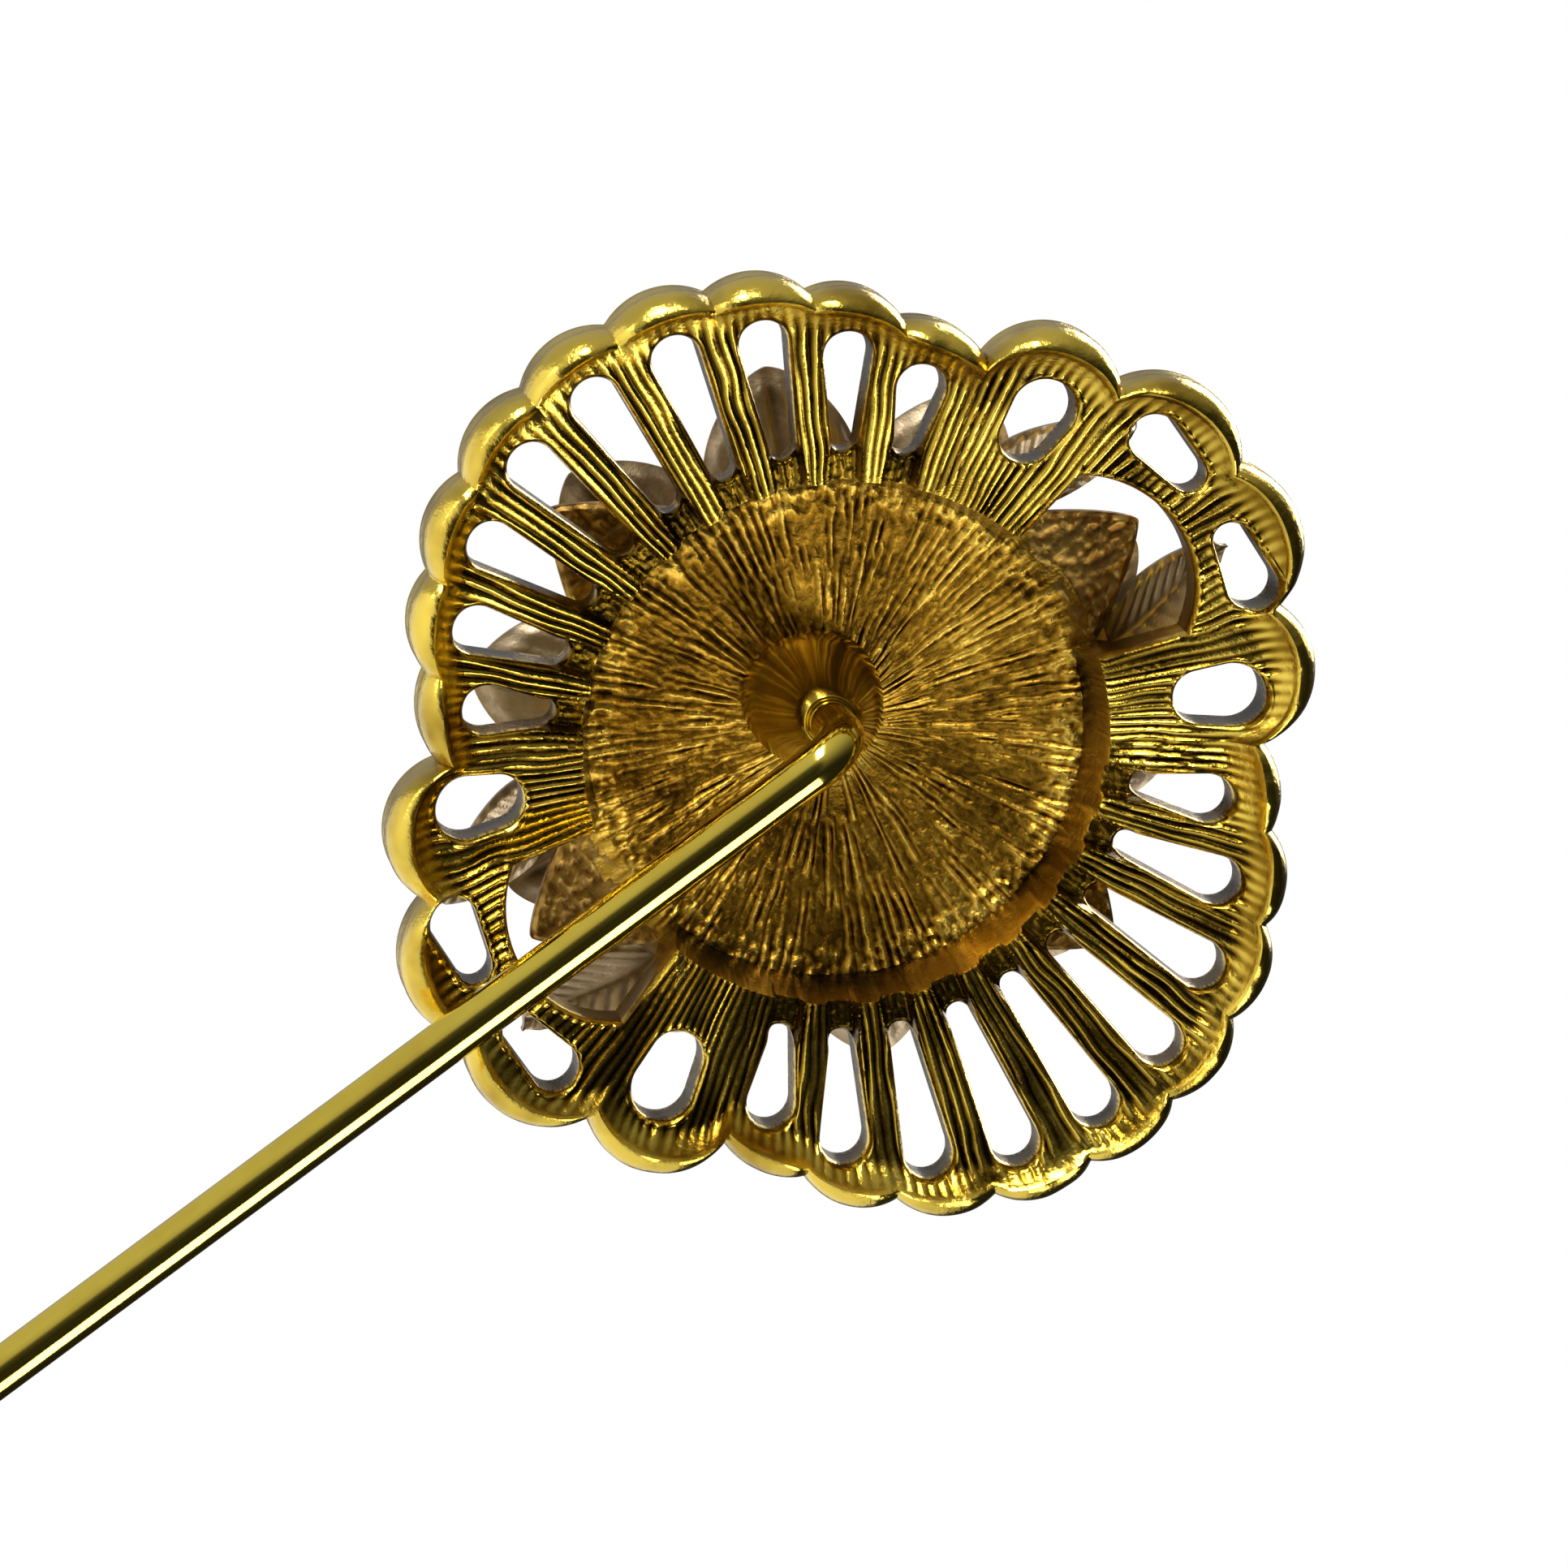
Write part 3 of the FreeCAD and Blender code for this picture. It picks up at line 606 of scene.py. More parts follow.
def add_cell(shell, cell, caps):
    """Add one cell's back, hole wall, underside, rim, collar and free edges to a shell."""
    sides, hole, slot = cell
    radius = np.concatenate([top[0][:-1] for top, _, _ in sides])
    angle = np.concatenate([top[1][:-1] for top, _, _ in sides])
    border = plan(radius, angle)
    edge = hole_edge(border, hole)
    rows = FAN_ROWS if slot is not None else LOOP_ROWS
    share = np.linspace(0.0, 1.0, rows + 1)
    share = (share * (0.5 + 0.5 * share))[:, None, None]
    points = edge + (border - edge) * share
    depth, hollow = relief_at(points, edge, slot)
    shell.grid(stand(points, depth), hollow, around=True)
    edge_radius, edge_angle = polar(edge)
    edge_under = under_depth(edge_radius, edge_angle)
    wall = np.linspace(0.0, 1.0, 5)[:, None]
    wall_depth = depth[0] + (edge_under - depth[0]) * wall
    # painted shade: the hole wall darkens from its lip down to the underside
    shell.grid(stand(np.broadcast_to(edge, (5,) + edge.shape), wall_depth), 0.6 + 0.4 * wall, around=True)
    under_radius = np.concatenate([under[0][:-1] for _, under, _ in sides])
    under_border = plan(under_radius, np.concatenate([under[1][:-1] for _, under, _ in sides]))
    lower = edge + (under_border - edge) * np.linspace(0.0, 1.0, 4)[:, None, None]
    low_radius, low_angle = polar(lower)
    # painted shade: the underside is a little darker
    shell.grid(stand(lower, under_depth(low_radius, low_angle)), 0.2, around=True)
    for side in sides:
        add_side(shell, side, hole, slot)
    for number in caps:
        add_section(shell, sides, number, hole, slot)


def relief_at(points, edge, slot):
    """Relief of points in a cell whose hole edge and slot middle are known."""
    gap = np.hypot(*np.moveaxis(points - edge, -1, 0))
    if slot is None:
        slot_gap = np.full(gap.shape, FAR_GAP)
    else:
        radius, angle = polar(points)
        slot_gap = radius * np.sin(np.radians(angle - slot))
    return top_relief(points, gap, slot_gap)


def border_depth(top, hole, slot):
    """Depth of the back along one side of a cell."""
    points = plan(*top)
    depth, _ = relief_at(points, hole_edge(points, hole), slot)
    return points, depth


def rim_profile(angle, crest_at, depth):
    """Rows of (radius, depth, darkening) from the crest to the rim's foot, with faint ripples between; the
    darkening is painted shade that grows towards the foot.
    """
    reach = outline(angle)
    rows = []
    for turn in np.linspace(0.0, math.pi / 2.0, 12):
        fall = RIM_FALL * (1.0 - math.cos(turn))
        rows.append((crest_at + (reach - crest_at) * math.sin(turn), depth + fall, 0.0))
    waist = depth + RIM_FALL
    for share in np.linspace(0.2, 1.0, 5):
        bulge = 0.035 * math.sin(math.pi * share)
        rows.append((reach - bulge, waist + (RIM_FOOT - 0.12 - waist) * share, 0.1 * share))
    # painted shade towards the rim's foot
    rows.append((reach - 0.02, RIM_FOOT - 0.04, 0.3))
    rows.append((reach - FOOT_TUCK, np.full(reach.shape, RIM_FOOT), 0.4))
    ripple = 0.012 * np.sin(np.arange(len(rows)) * 2.4)
    ripple[0] = ripple[-3:] = 0.0
    return [(radius + wave, row_depth, hollow) for wave, (radius, row_depth, hollow) in zip(ripple, rows)]


def collar_profile(depth):
    """Rows of (radius, depth, darkening) down the recess wall and back under the collar; the darkening is
    painted shade, deepest at the wall's foot.
    """
    rows = [(RECESS_RADIUS, depth, 0.15)]
    for share in np.linspace(0.12, 1.0, 7):
        radius = RECESS_RADIUS - (RECESS_RADIUS - COLLAR_FOOT_RADIUS) * share ** 1.3
        rows.append((radius, depth + (COLLAR_FOOT_DEPTH - depth) * share, 0.45 + 0.4 * share))
    rows.append((COLLAR_OUT_RADIUS, COLLAR_FOOT_DEPTH, 0.5))
    rows.append((UNDER_RADIUS, UNDER_DEPTH, 0.3))
    return rows


def add_side(shell, side, hole, slot):
    """Add the strip that hangs from one side of a cell, if it has one."""
    top, under, kind = side
    if kind == "side":
        return
    points, depth = border_depth(top, hole, slot)
    angle = top[1]
    if kind == "rim":
        shell.strip(rim_profile(angle, top[0], depth), angle)
    elif kind == "arc":
        shell.strip(collar_profile(depth), angle)
    else:
        low = plan(*under)
        low_depth = under_depth(*under)
        share = np.linspace(0.0, 1.0, 5)[:, None]
        walls = points + (low - points) * share[..., None]
        # painted shade: the free edge's wall darkens downwards
        shell.grid(stand(walls, depth + (low_depth - depth) * share), 0.15 + 0.4 * share)


def add_section(shell, sides, number, hole, slot):
    """Close the frame's cut end along one side of a cell, or the collar's end at a free edge."""
    top, under, kind = sides[number]
    points, depth = border_depth(top, hole, slot)
    inner = -1 if top[0][0] > top[0][-1] else 0
    outer = 0 if inner else -1
    angle = top[1][inner]
    ring = stand_rows(collar_profile(depth[inner]), angle)
    if kind == "free":
        shell.cap(ring, 0.3)
        return
    order = slice(None) if inner == 0 else slice(None, None, -1)
    back = stand(points, depth)[order]
    lower = stand(plan(*under), under_depth(*under))[order]
    ends = np.array([angle])
    rim = stand_rows(rim_profile(ends, top[0][outer], depth[[outer]]), ends)[:, 0]
    shell.cap(np.concatenate([back[:-1], rim, lower[::-1][1:], ring[1:-1][::-1]]), 0.3)


def make_frame():
    """Cast frame in four groups of cells: two fans of spokes and two ends of loops."""
    finish = metal("Cast gold")
    groups = []
    for name, side, slots_turn in (("frame_fan_right", 0.0, 0.0),
                                   ("frame_fan_left", 180.0, LEFT_SLOTS_TURN)):
        groups.append((name, fan_cells(side, slots_turn), {0: [3], FAN_CELLS - 1: [1]}))
    for side, name in ((0.0, "frame_loops_upper"), (180.0, "frame_loops_lower")):
        groups.append((name, loop_cells(side), {0: [1, 4], 3: [1, 4]}))
    for name, cells, caps in groups:
        shell = Shell()
        for number, cell in enumerate(cells):
            add_cell(shell, cell, caps.get(number, []))
        settle(shell.build(name), PIN, "openwork_frame", "gold_cast", finish)


# ---------------------------------------------------------------- dish

def floor_relief(radius, angle):
    """Recessed floor: a shallow cone with broken radial ridges and a gritty band at its edge.

    Three counts of ridges take over from each other outwards, each cut short by random lumps.
    """
    cone = np.interp(radius, (FLOOR_PAD, COLLAR_FOOT_RADIUS), (FLOOR_DEPTH, COLLAR_FOOT_DEPTH))
    right, up = np.moveaxis(plan(radius, angle), -1, 0)
    height = np.zeros(np.broadcast(radius, angle).shape)
    for count, start, stop, seed in RIDGES:
        waver = 0.3 * lumps(angle * 0.35, radius * 0.9, 1.0, seed)
        wave = np.abs(np.cos(math.pi * (angle * count / 360.0 + waver)))
        here = smooth(radius, start, start + 0.9) * (1.0 - smooth(radius, stop - 0.8, stop))
        broken = 0.55 + lumps(angle * count / 360.0, radius * 1.1, 1.0, seed + 10)
        height = height + here * np.clip(broken, 0.0, 1.3) * (wave - 0.5)
    grit = smooth(radius, 5.9, 6.3) * (0.5 + lumps(right, up, 0.16, 31))
    speck = lumps(right, up, 0.12, 32) * smooth(radius, 1.2, 3.0)
    rise = setting("ridge_height") * height + 0.055 * grit + 0.025 * speck
    # painted shade with patina: the recessed floor is darker overall and in ridge valleys, lighter on
    # ridges, grit and specks, fading to none at the middle
    hollow = np.clip(0.55 - 0.9 * height - 0.5 * grit - 0.25 * speck, 0.0, 1.0)
    return cone - rise, hollow * smooth(radius, 0.6, 2.4)


def make_dish():
    """Floor of the recess with its rim and plain front, then the four corner petals."""
    finish = metal("Floor gold")
    columns = 1080
    angle = np.arange(columns) * 360.0 / columns
    radii = np.concatenate([np.linspace(0.0, 2.0, 10)[:-1], np.linspace(2.0, 6.8, 58)])
    radius = np.broadcast_to(radii[:, None], (len(radii), columns))
    depth, hollow = floor_relief(radius, np.broadcast_to(angle, radius.shape))
    shell = Shell()
    back = stand(plan(radius, angle), depth)
    front = stand_rows(DISH_FRONT, angle)
    # painted shade: the dish front's rows carry their own darkening, most in its inner corner
    values = np.array([np.full(columns, value) for _, _, value in DISH_FRONT])
    shell.grid(np.concatenate([back, front]), np.concatenate([hollow, values]), around=True)
    settle(shell.build("dish_floor"), PIN, "petal_dish", "gold_cast", finish)
    petals = Shell()
    for middle in CORNER_PETALS:
        add_corner_petal(petals, middle)
    settle(petals.build("corner_petals"), PIN, "petal_dish", "gold_cast", metal("Sandy gold"))


def add_corner_petal(shell, middle):
    """A blunt pointed petal: half width narrows from its root chord to a rounded tip."""
    share = np.concatenate([np.linspace(0.0, 0.92, 40), np.linspace(0.93, 1.0, 14)])[:, None]
    across, backs = two_faces(33, 9)
    half = CORNER_HALF_WIDTH * (1.0 - share ** 1.15) ** 0.82 + 0.02
    along = CORNER_ROOT + CORNER_LENGTH * share
    points = swing(half * across, along, middle)
    right, up = np.moveaxis(points, -1, 0)
    _, angle = polar(points)
    tip = smooth(share, 0.9, 1.0)
    edge = smooth((1.0 - np.abs(across)) * half, 0.0, 0.22) * (1.0 - tip)
    wave = np.abs(np.cos(math.pi * (angle / 2.6 + 0.3 * lumps(right, up, 1.4, 41))))
    grain = lumps(right, up, 0.15, 42)
    back = CORNER_BACK + 0.12 * (1.0 - edge) - edge * (0.03 * wave + 0.055 * grain) + 0.1 * share
    front = CORNER_FRONT - 0.1 * (1.0 - edge)
    depth = np.where(backs, back, front)
    # painted shade with patina: the back is darker between its ribs and grain bumps; the front has a plain
    # light darkening
    hollow = np.where(backs, np.clip(0.45 - 0.4 * wave - 0.3 * grain, 0.0, 1.0), 0.2)
    shell.tube(stand(points, depth), hollow, 0.3)


# ---------------------------------------------------------------- front layers

def add_leaf(shell, middle, lean, lift):
    """A folded leaf: a sine half width, raised along its fold and rippled by side veins.

    It leaves the centre at one angle and leans over to another as it nears its tip.
    """
    share = np.linspace(0.0, 1.0, 60)[:, None]
    across, backs = two_faces(25, 13)
    inward = 1.0 - np.abs(across)
    half = (0.16 + LEAF_HALF_WIDTH * np.sin(math.pi * np.clip(share, 0.0, 1.0) ** 0.82)
            * (1.0 - 0.15 * share))
    half = half * (1.0 - smooth(share, 0.93, 1.0) * 0.9)
    along = LEAF_ROOT + LEAF_LENGTH * share
    side = half * across
    points = swing(side, along, middle + lean * smooth(share, 0.05, 1.0))
    fold = 0.34 * inward * np.sin(math.pi * share) ** 0.6
    ripple = np.cos((along - np.abs(side) * 0.9) * 2.0 * math.pi / 0.42)
    vein = 0.03 * ripple * smooth(np.abs(across), 0.06, 0.25)
    edge = smooth(inward, 0.0, 0.16)
    curl = 0.35 * share ** 2
    back = LEAF_BACK + lift + fold + vein * edge + curl + 0.1 * (1.0 - edge)
    front = back + LEAF_THICKNESS - 0.16 * (1.0 - edge)
    depth = np.where(backs, back, front)
    # painted shade: the back is darker along the leaf's middle fold, varied by the side veins
    hollow = np.where(backs, np.clip(0.5 * inward ** 3 - 3.0 * vein + 0.1, 0.0, 1.0), 0.1)
    shell.tube(stand(points, depth), hollow, 0.3)


def make_leaves():
    """Two sprays of two leaves leaning together, each pair on an arc-shaped strap."""
    finish = metal("Pale gold")
    for middle, name in ((TURN, "leaf_spray_upper"), (180.0 + TURN, "leaf_spray_lower")):
        shell = Shell()
        for side in (-1.0, 1.0):
            add_leaf(shell, middle + LEAF_SPREAD * side, -LEAF_LEAN * side, 0.05 * side)
        angle = (middle + np.linspace(-LEAF_STRAP, LEAF_STRAP, 60))[:, None]
        ring = np.linspace(0.0, 2.0 * math.pi, 16, endpoint=False)[None, :]
        radius = STRAP_MIDDLE[0] + STRAP_HALF[0] * np.clip(1.25 * np.cos(ring), -1.0, 1.0)
        depth = STRAP_MIDDLE[1] + STRAP_HALF[1] * np.clip(1.25 * np.sin(ring), -1.0, 1.0)
        shell.tube(stand(plan(radius, angle), depth), 0.3, 0.3)
        settle(shell.build(name), PIN, name, "gold_front", finish)


def flower(name, count, tip, notch, start, thickness, curl, turn, sharp):
    """A round petal layer: the radius swells to each petal's tip and the rim curls forward.

    Each petal is crowned across its width, with a vein along its middle and fine side lines.
    """
    columns = 60 * count
    angle = (turn + np.arange(columns) * 360.0 / columns)[None, :]
    phase = (angle - turn) * count / 360.0 % 1.0
    off = np.abs(phase - 0.5) * 2.0
    reach = notch + (tip - notch) * np.maximum(1.0 - off ** sharp, 0.0) ** 0.8
    half_way = np.linspace(0.0, 1.0, 40) ** 0.9
    share = np.concatenate([half_way, half_way[::-1]])[:, None]
    backs = (np.arange(80) < 40)[:, None]
    radius = 0.6 + (reach - 0.6) * share
    outer = smooth(share, 0.35, 1.0)
    crown = 0.28 * (1.0 - off ** 2) * outer
    vein = 0.09 * np.exp(-(off / 0.07) ** 2) * smooth(share, 0.4, 0.6) * (1.0 - smooth(share, 0.9, 1.0))
    lines = 0.02 * np.cos(2.0 * math.pi * off * 5.0) * smooth(share, 0.5, 0.8)
    lines = lines * (1.0 - smooth(share, 0.95, 1.0))
    edge = smooth(share, 0.93, 1.0)
    middle = start + 0.5 * thickness + curl * outer ** 2 - crown
    half = 0.5 * thickness * (1.0 - 0.75 * edge)
    depth = np.where(backs, middle - half + vein + lines, middle + half + vein - lines)
    # painted shade with patina: darker in the notches between petals and along the vein groove on the
    # back, lighter on the raised vein at the front
    hollow = np.clip(0.8 * off ** 6 * outer + 6.0 * np.where(backs, vein, -vein) + 0.12, 0.0, 1.0)
    shell = Shell()
    shell.grid(stand(plan(*np.broadcast_arrays(radius, angle)), depth), hollow, around=True, over=True)
    return settle(shell.build(name), PIN, name, "gold_front", metal("Pale gold"))


def make_petals():
    """Outer and inner petal layers of the front flower."""
    flower("outer_petals", count=10, tip=9.8, notch=7.0, start=6.2, thickness=0.5, curl=0.75, turn=10.0,
           sharp=1.4)
    flower("inner_petals", count=8, tip=6.2, notch=4.7, start=6.78, thickness=0.55, curl=1.7, turn=0.0,
           sharp=2.4)


def lathe(shell, profile, place, columns, wobble=None):
    """Turn a profile of (radius, height) about an axis and place it with a function."""
    profile = np.array(profile, float)
    angle = np.arange(columns) * 2.0 * math.pi / columns
    radius = np.broadcast_to(profile[:, 0, None], (len(profile), columns))
    height = np.broadcast_to(profile[:, 1, None], (len(profile), columns))
    if wobble:
        radius = wobble(radius, height, angle[None, :])
    shell.grid(place(radius * np.cos(angle), radius * np.sin(angle), height), 0.0, around=True)


def turned(name, profile, place, columns, body, look, wobble=None, sharp=40.0):
    """Make a turned piece in place of its node; its look is a slot, which is not used, and a finish."""
    shell = Shell()
    lathe(shell, profile, place, columns, wobble)
    settle(shell.build(name, sharp), body, name, *look)


def rounded(corners, radius, steps=5):
    """A polyline profile with its inner corners replaced by small quadratic curves."""
    corners = np.array(corners, float)
    points = [corners[0]]
    for before, corner, after in zip(corners[:-2], corners[1:-1], corners[2:]):
        one, two = before - corner, after - corner
        reach = min(radius, 0.45 * np.hypot(*one), 0.45 * np.hypot(*two))
        start = corner + one / max(np.hypot(*one), 1e-9) * reach
        stop = corner + two / max(np.hypot(*two), 1e-9) * reach
        for step in np.linspace(0.0, 1.0, steps):
            points.append(start * (1 - step) ** 2 + corner * 2 * step * (1 - step) + stop * step ** 2)
    points.append(corners[-1])
    return np.array(points)


def forward(right, up, depth):
    """Place lathe output on the ornament's axis with its height as depth."""
    return stand(np.stack([right, up], -1), depth)


def make_setting():
    """Imitation pearl, its fluted cup and the rivet through the petal layers."""
    turn = np.linspace(0.0, math.pi, 73)
    profile = np.stack([PEARL_RADIUS * np.sin(turn), PEARL_DEPTH - PEARL_RADIUS * np.cos(turn)], -1)
    profile[0, 0] = profile[-1, 0] = 0.0
    turned("pearl", profile, forward, 144, PIN, ("pearl", pearl_finish()),
           lambda r, h, a: r * (1.0 - 0.004 * (1.0 + np.sin(3.0 * a + h))))
    turned("pearl_cup", rounded(CUP_PROFILE, 0.08), forward, 192, PIN, ("gold_front", metal("Pale gold")),
           lambda r, h, a: r - 0.05 * smooth(r, 1.6, 2.0) * (1.0 - np.cos(16.0 * a)))
    turned("centre_rivet", rounded(RIVET_PROFILE, 0.06), forward, 48, PIN,
           ("gold_wire", metal("Wire gold")))


# ---------------------------------------------------------------- boss, stem and guard

def make_boss():
    """Bell of solder round the stem's foot, pulled off round by slow waves."""
    profile = rounded(BOSS_PROFILE, 0.35, 9)
    low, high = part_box("solder_boss")
    middle = (low.z + high.z) / 2.0 / MM

    def place(right, up, height):
        return np.stack([right, height, middle + up], -1) * MM

    def pulled(radius, height, angle):
        rise = smooth(radius, 0.66, 1.0)
        waves = 0.035 * np.sin(2.0 * angle + 1.9) + 0.02 * np.sin(3.0 * angle + height * 1.5)
        return radius * (1.0 + rise * (waves - 0.055))

    turned("solder_boss", profile, place, 128, PIN, ("solder", metal("Plated solder")), pulled, 60.0)


def make_stem():
    """Round wire carried along its foot, quarter bend, straight run and ground taper."""
    level = np.linspace(-FOOT_DEPTH, -BEND_RADIUS, 10)
    foot = np.stack([np.zeros(10), level, np.full(10, BEND_RADIUS)], -1)
    turn = np.linspace(0.0, math.pi / 2.0, 26)[1:]
    bend = np.stack([np.zeros(25), BEND_RADIUS * (np.sin(turn) - 1.0), BEND_RADIUS * np.cos(turn)], -1)
    run = np.stack([np.zeros(40), np.zeros(40), -np.linspace(0.0, STRAIGHT, 41)[1:]], -1)
    point = np.stack([np.zeros(24), np.zeros(24), -STRAIGHT - np.linspace(0.0, POINT_LENGTH, 25)[1:]], -1)
    path = np.concatenate([foot, bend, run, point])
    radius = np.full(len(path), WIRE_RADIUS)
    radius[-24:] = WIRE_RADIUS - (WIRE_RADIUS - POINT_RADIUS) * np.linspace(0.0, 1.0, 25)[1:]
    tangent = np.gradient(path, axis=0)
    tangent /= np.linalg.norm(tangent, axis=1)[:, None]
    side = np.broadcast_to(np.array([1.0, 0.0, 0.0]), path.shape)
    other = np.cross(tangent, side)
    angle = np.arange(64) * 2.0 * math.pi / 64
    ring = side[:, None] * np.cos(angle)[None, :, None] + other[:, None] * np.sin(angle)[None, :, None]
    shell = Shell()
    shell.tube((path[:, None] + ring * radius[:, None, None]) * MM)
    settle(shell.build("pin_stem"), PIN, "pin_stem", "gold_wire", metal("Wire gold"))


def upright(right, up, height):
    """Place lathe output on the stem's axis."""
    return np.stack([right, up, height], -1) * MM


def make_guard():
    """Point guard: grooved sleeve, nylon liner and domed cap."""
    gold = ("guard_metal", metal("Guard gold"))
    turned("guard_shell", rounded(SLEEVE_PROFILE, 0.08), upright, 128, GUARD, gold)
    turned("guard_liner", rounded(LINER_PROFILE, 0.1), upright, 96, GUARD, ("nylon", nylon_finish()))
    dome = [(2.08 * math.sin(t), -97.2 - 1.48 * math.cos(t)) for t in np.linspace(0.0, math.pi / 2.0, 20)]
    dome[0] = (0.0, dome[0][1])
    turned("guard_cap", dome + list(CAP_PLUG), upright, 128, GUARD, gold)


# ---------------------------------------------------------------- finishes

def node_tools(tree):
    """Short ways to add a node with its properties and to join two sockets."""
    def add(kind, **values):
        node = tree.nodes.new(kind)
        for key, value in values.items():
            setattr(node, key, value)
        return node

    def join(source, target):
        tree.links.new(source, target)

    return add, join


def new_finish(name):
    """An empty material with a principled shader and its node tools, or only the one made before."""
    known = bpy.data.materials.get(name)
    if known:
        return known, None, None, None
    material = bpy.data.materials.new(name)
    material.use_nodes = True
    material.node_tree.nodes.clear()
    add, join = node_tools(material.node_tree)
    out = add("ShaderNodeOutputMaterial")
    shader = add("ShaderNodeBsdfPrincipled")
    join(shader.outputs["BSDF"], out.inputs["Surface"])
    return material, shader, add, join


def ramp(add, join, source, stops):
    """A colour ramp fed by a value."""
    node = add("ShaderNodeValToRGB")
    join(source, node.inputs["Fac"])
    while len(node.color_ramp.elements) < len(stops):
        node.color_ramp.elements.new(0.5)
    for element, (place, colour) in zip(node.color_ramp.elements, stops):
        element.position = place
        element.color = tuple(colour) + (1.0,)
    return node


def noise(add, join, scale, detail=3.0, rough=0.55):
    """Noise on the object's own coordinates."""
    where = add("ShaderNodeTexCoord")
    node = add("ShaderNodeTexNoise")
    node.inputs["Scale"].default_value = scale
    node.inputs["Detail"].default_value = detail
    node.inputs["Roughness"].default_value = rough
    join(where.outputs["Object"], node.inputs["Vector"])
    return node


def arithmetic(add, join, kind, one, two):
    """A math node of two values, each a socket or a number."""
    node = add("ShaderNodeMath", operation=kind)
    for slot, value in zip(node.inputs, (one, two)):
        if isinstance(value, (int, float)):
            slot.default_value = value
        else:
            join(value, slot)
    return node.outputs[0]


# Metals: colour of high spots (or the setting that holds it), of flats and of recesses (patina with
# painted shade); then roughness, grain per metre, strength of the grain's bump, and how much the grain
# roughens.
METALS = {
    "Cast gold": ("cast_colour", (0.26, 0.15, 0.012), (0.02, 0.011, 0.002), 0.07, 5200.0, 0.5, 0.2),
    "Floor gold": ((0.74, 0.48, 0.07), (0.30, 0.155, 0.012), (0.05, 0.024, 0.003), 0.14, 6000.0, 1.0, 0.3),
    "Sandy gold": ((0.42, 0.26, 0.06), (0.20, 0.105, 0.022), (0.05, 0.028, 0.008), 0.24, 4200.0, 0.7, 0.3),
    "Pale gold": ("front_colour", (0.22, 0.155, 0.085), (0.05, 0.03, 0.015), 0.26, 3600.0, 0.5, 0.25),
    "Wire gold": ((0.95, 0.73, 0.10), (0.80, 0.56, 0.07), (0.4, 0.25, 0.05), 0.06, 2500.0, 0.06, 0.06),
    "Plated solder": ((0.52, 0.37, 0.045), (0.32, 0.21, 0.02), (0.1, 0.06, 0.01), 0.13, 1500.0, 0.25, 0.1),
    "Guard gold": ((0.82, 0.62, 0.14), (0.62, 0.43, 0.1), (0.3, 0.2, 0.05), 0.16, 2600.0, 0.15, 0.12),
}


# Stains: noise per metre, spread and shift of the noise. Then the roughness added in hollows.
STAIN_SCALE = 420.0
STAIN_SPREAD = 1.3
STAIN_SHIFT = -0.58
WORN_ROUGHNESS = 0.12
GRAIN_DISTANCE = 0.00004


def metal(name):
    """Metal whose recesses darken with patina and painted shade: colour by that darkening value and slow
    noise, grain in roughness and bump.
    """
    material, shader, add, join = new_finish(name)
    if shader is None:
        return material
    light, flat, patina_and_shade_colour, roughness, grain, bump, specks = METALS[name]
    light = setting(light) if isinstance(light, str) else light
    hollow = add("ShaderNodeAttribute", attribute_name="hollow")
    slow = noise(add, join, STAIN_SCALE)
    fine = noise(add, join, grain, 4.0, 0.65)
    stain = arithmetic(add, join, "MULTIPLY_ADD", slow.outputs["Fac"], STAIN_SPREAD)
    stain.node.inputs[2].default_value = STAIN_SHIFT
    amount = arithmetic(add, join, "ADD", hollow.outputs["Fac"], stain)
    # painted shade with patina: high-spot colour where the mask is nought, flat colour midway, darkest
    # colour in recesses
    tone = ramp(add, join, amount, ((0.0, light), (0.45, flat), (1.0, patina_and_shade_colour)))
    join(tone.outputs["Color"], shader.inputs["Base Color"])
    shader.inputs["Metallic"].default_value = 1.0
    spread = arithmetic(add, join, "MULTIPLY", fine.outputs["Fac"], specks)
    worn = arithmetic(add, join, "MULTIPLY", hollow.outputs["Fac"], WORN_ROUGHNESS)
    total = arithmetic(add, join, "ADD", spread, worn)
    join(arithmetic(add, join, "ADD", total, roughness), shader.inputs["Roughness"])
    relief = add("ShaderNodeBump")
    relief.inputs["Strength"].default_value = bump
    relief.inputs["Distance"].default_value = GRAIN_DISTANCE
    join(fine.outputs["Fac"], relief.inputs["Height"])
    join(relief.outputs["Normal"], shader.inputs["Normal"])
    return material


def pearl_finish():
    """Cream imitation pearl: soft body under a clear coat, with a painted sheen that turns rosier and
    darker towards the outline.
    """
    material, shader, add, join = new_finish("Pearl")
    if shader is None:
        return material
    cloud = noise(add, join, 260.0, 2.0)
    # painted sheen: colour by facing, cream where the surface faces the eye, rosy and darker at the
    # outline
    edge = add("ShaderNodeLayerWeight")
    edge.inputs["Blend"].default_value = 0.35
    stops = ((0.0, (0.88, 0.80, 0.70)), (0.55, (0.84, 0.77, 0.71)), (1.0, (0.70, 0.60, 0.60)))
    tone = ramp(add, join, edge.outputs["Facing"], stops)
    join(tone.outputs["Color"], shader.inputs["Base Color"])
    spread = arithmetic(add, join, "MULTIPLY", cloud.outputs["Fac"], 0.12)
    join(arithmetic(add, join, "ADD", spread, 0.2), shader.inputs["Roughness"])
    shader.inputs["Metallic"].default_value = 0.25
    shader.inputs["Coat Weight"].default_value = 0.8
    shader.inputs["Coat Roughness"].default_value = 0.06
    shader.inputs["Subsurface Weight"].default_value = 0.15
    shader.inputs["Subsurface Scale"].default_value = 0.0008
    return material


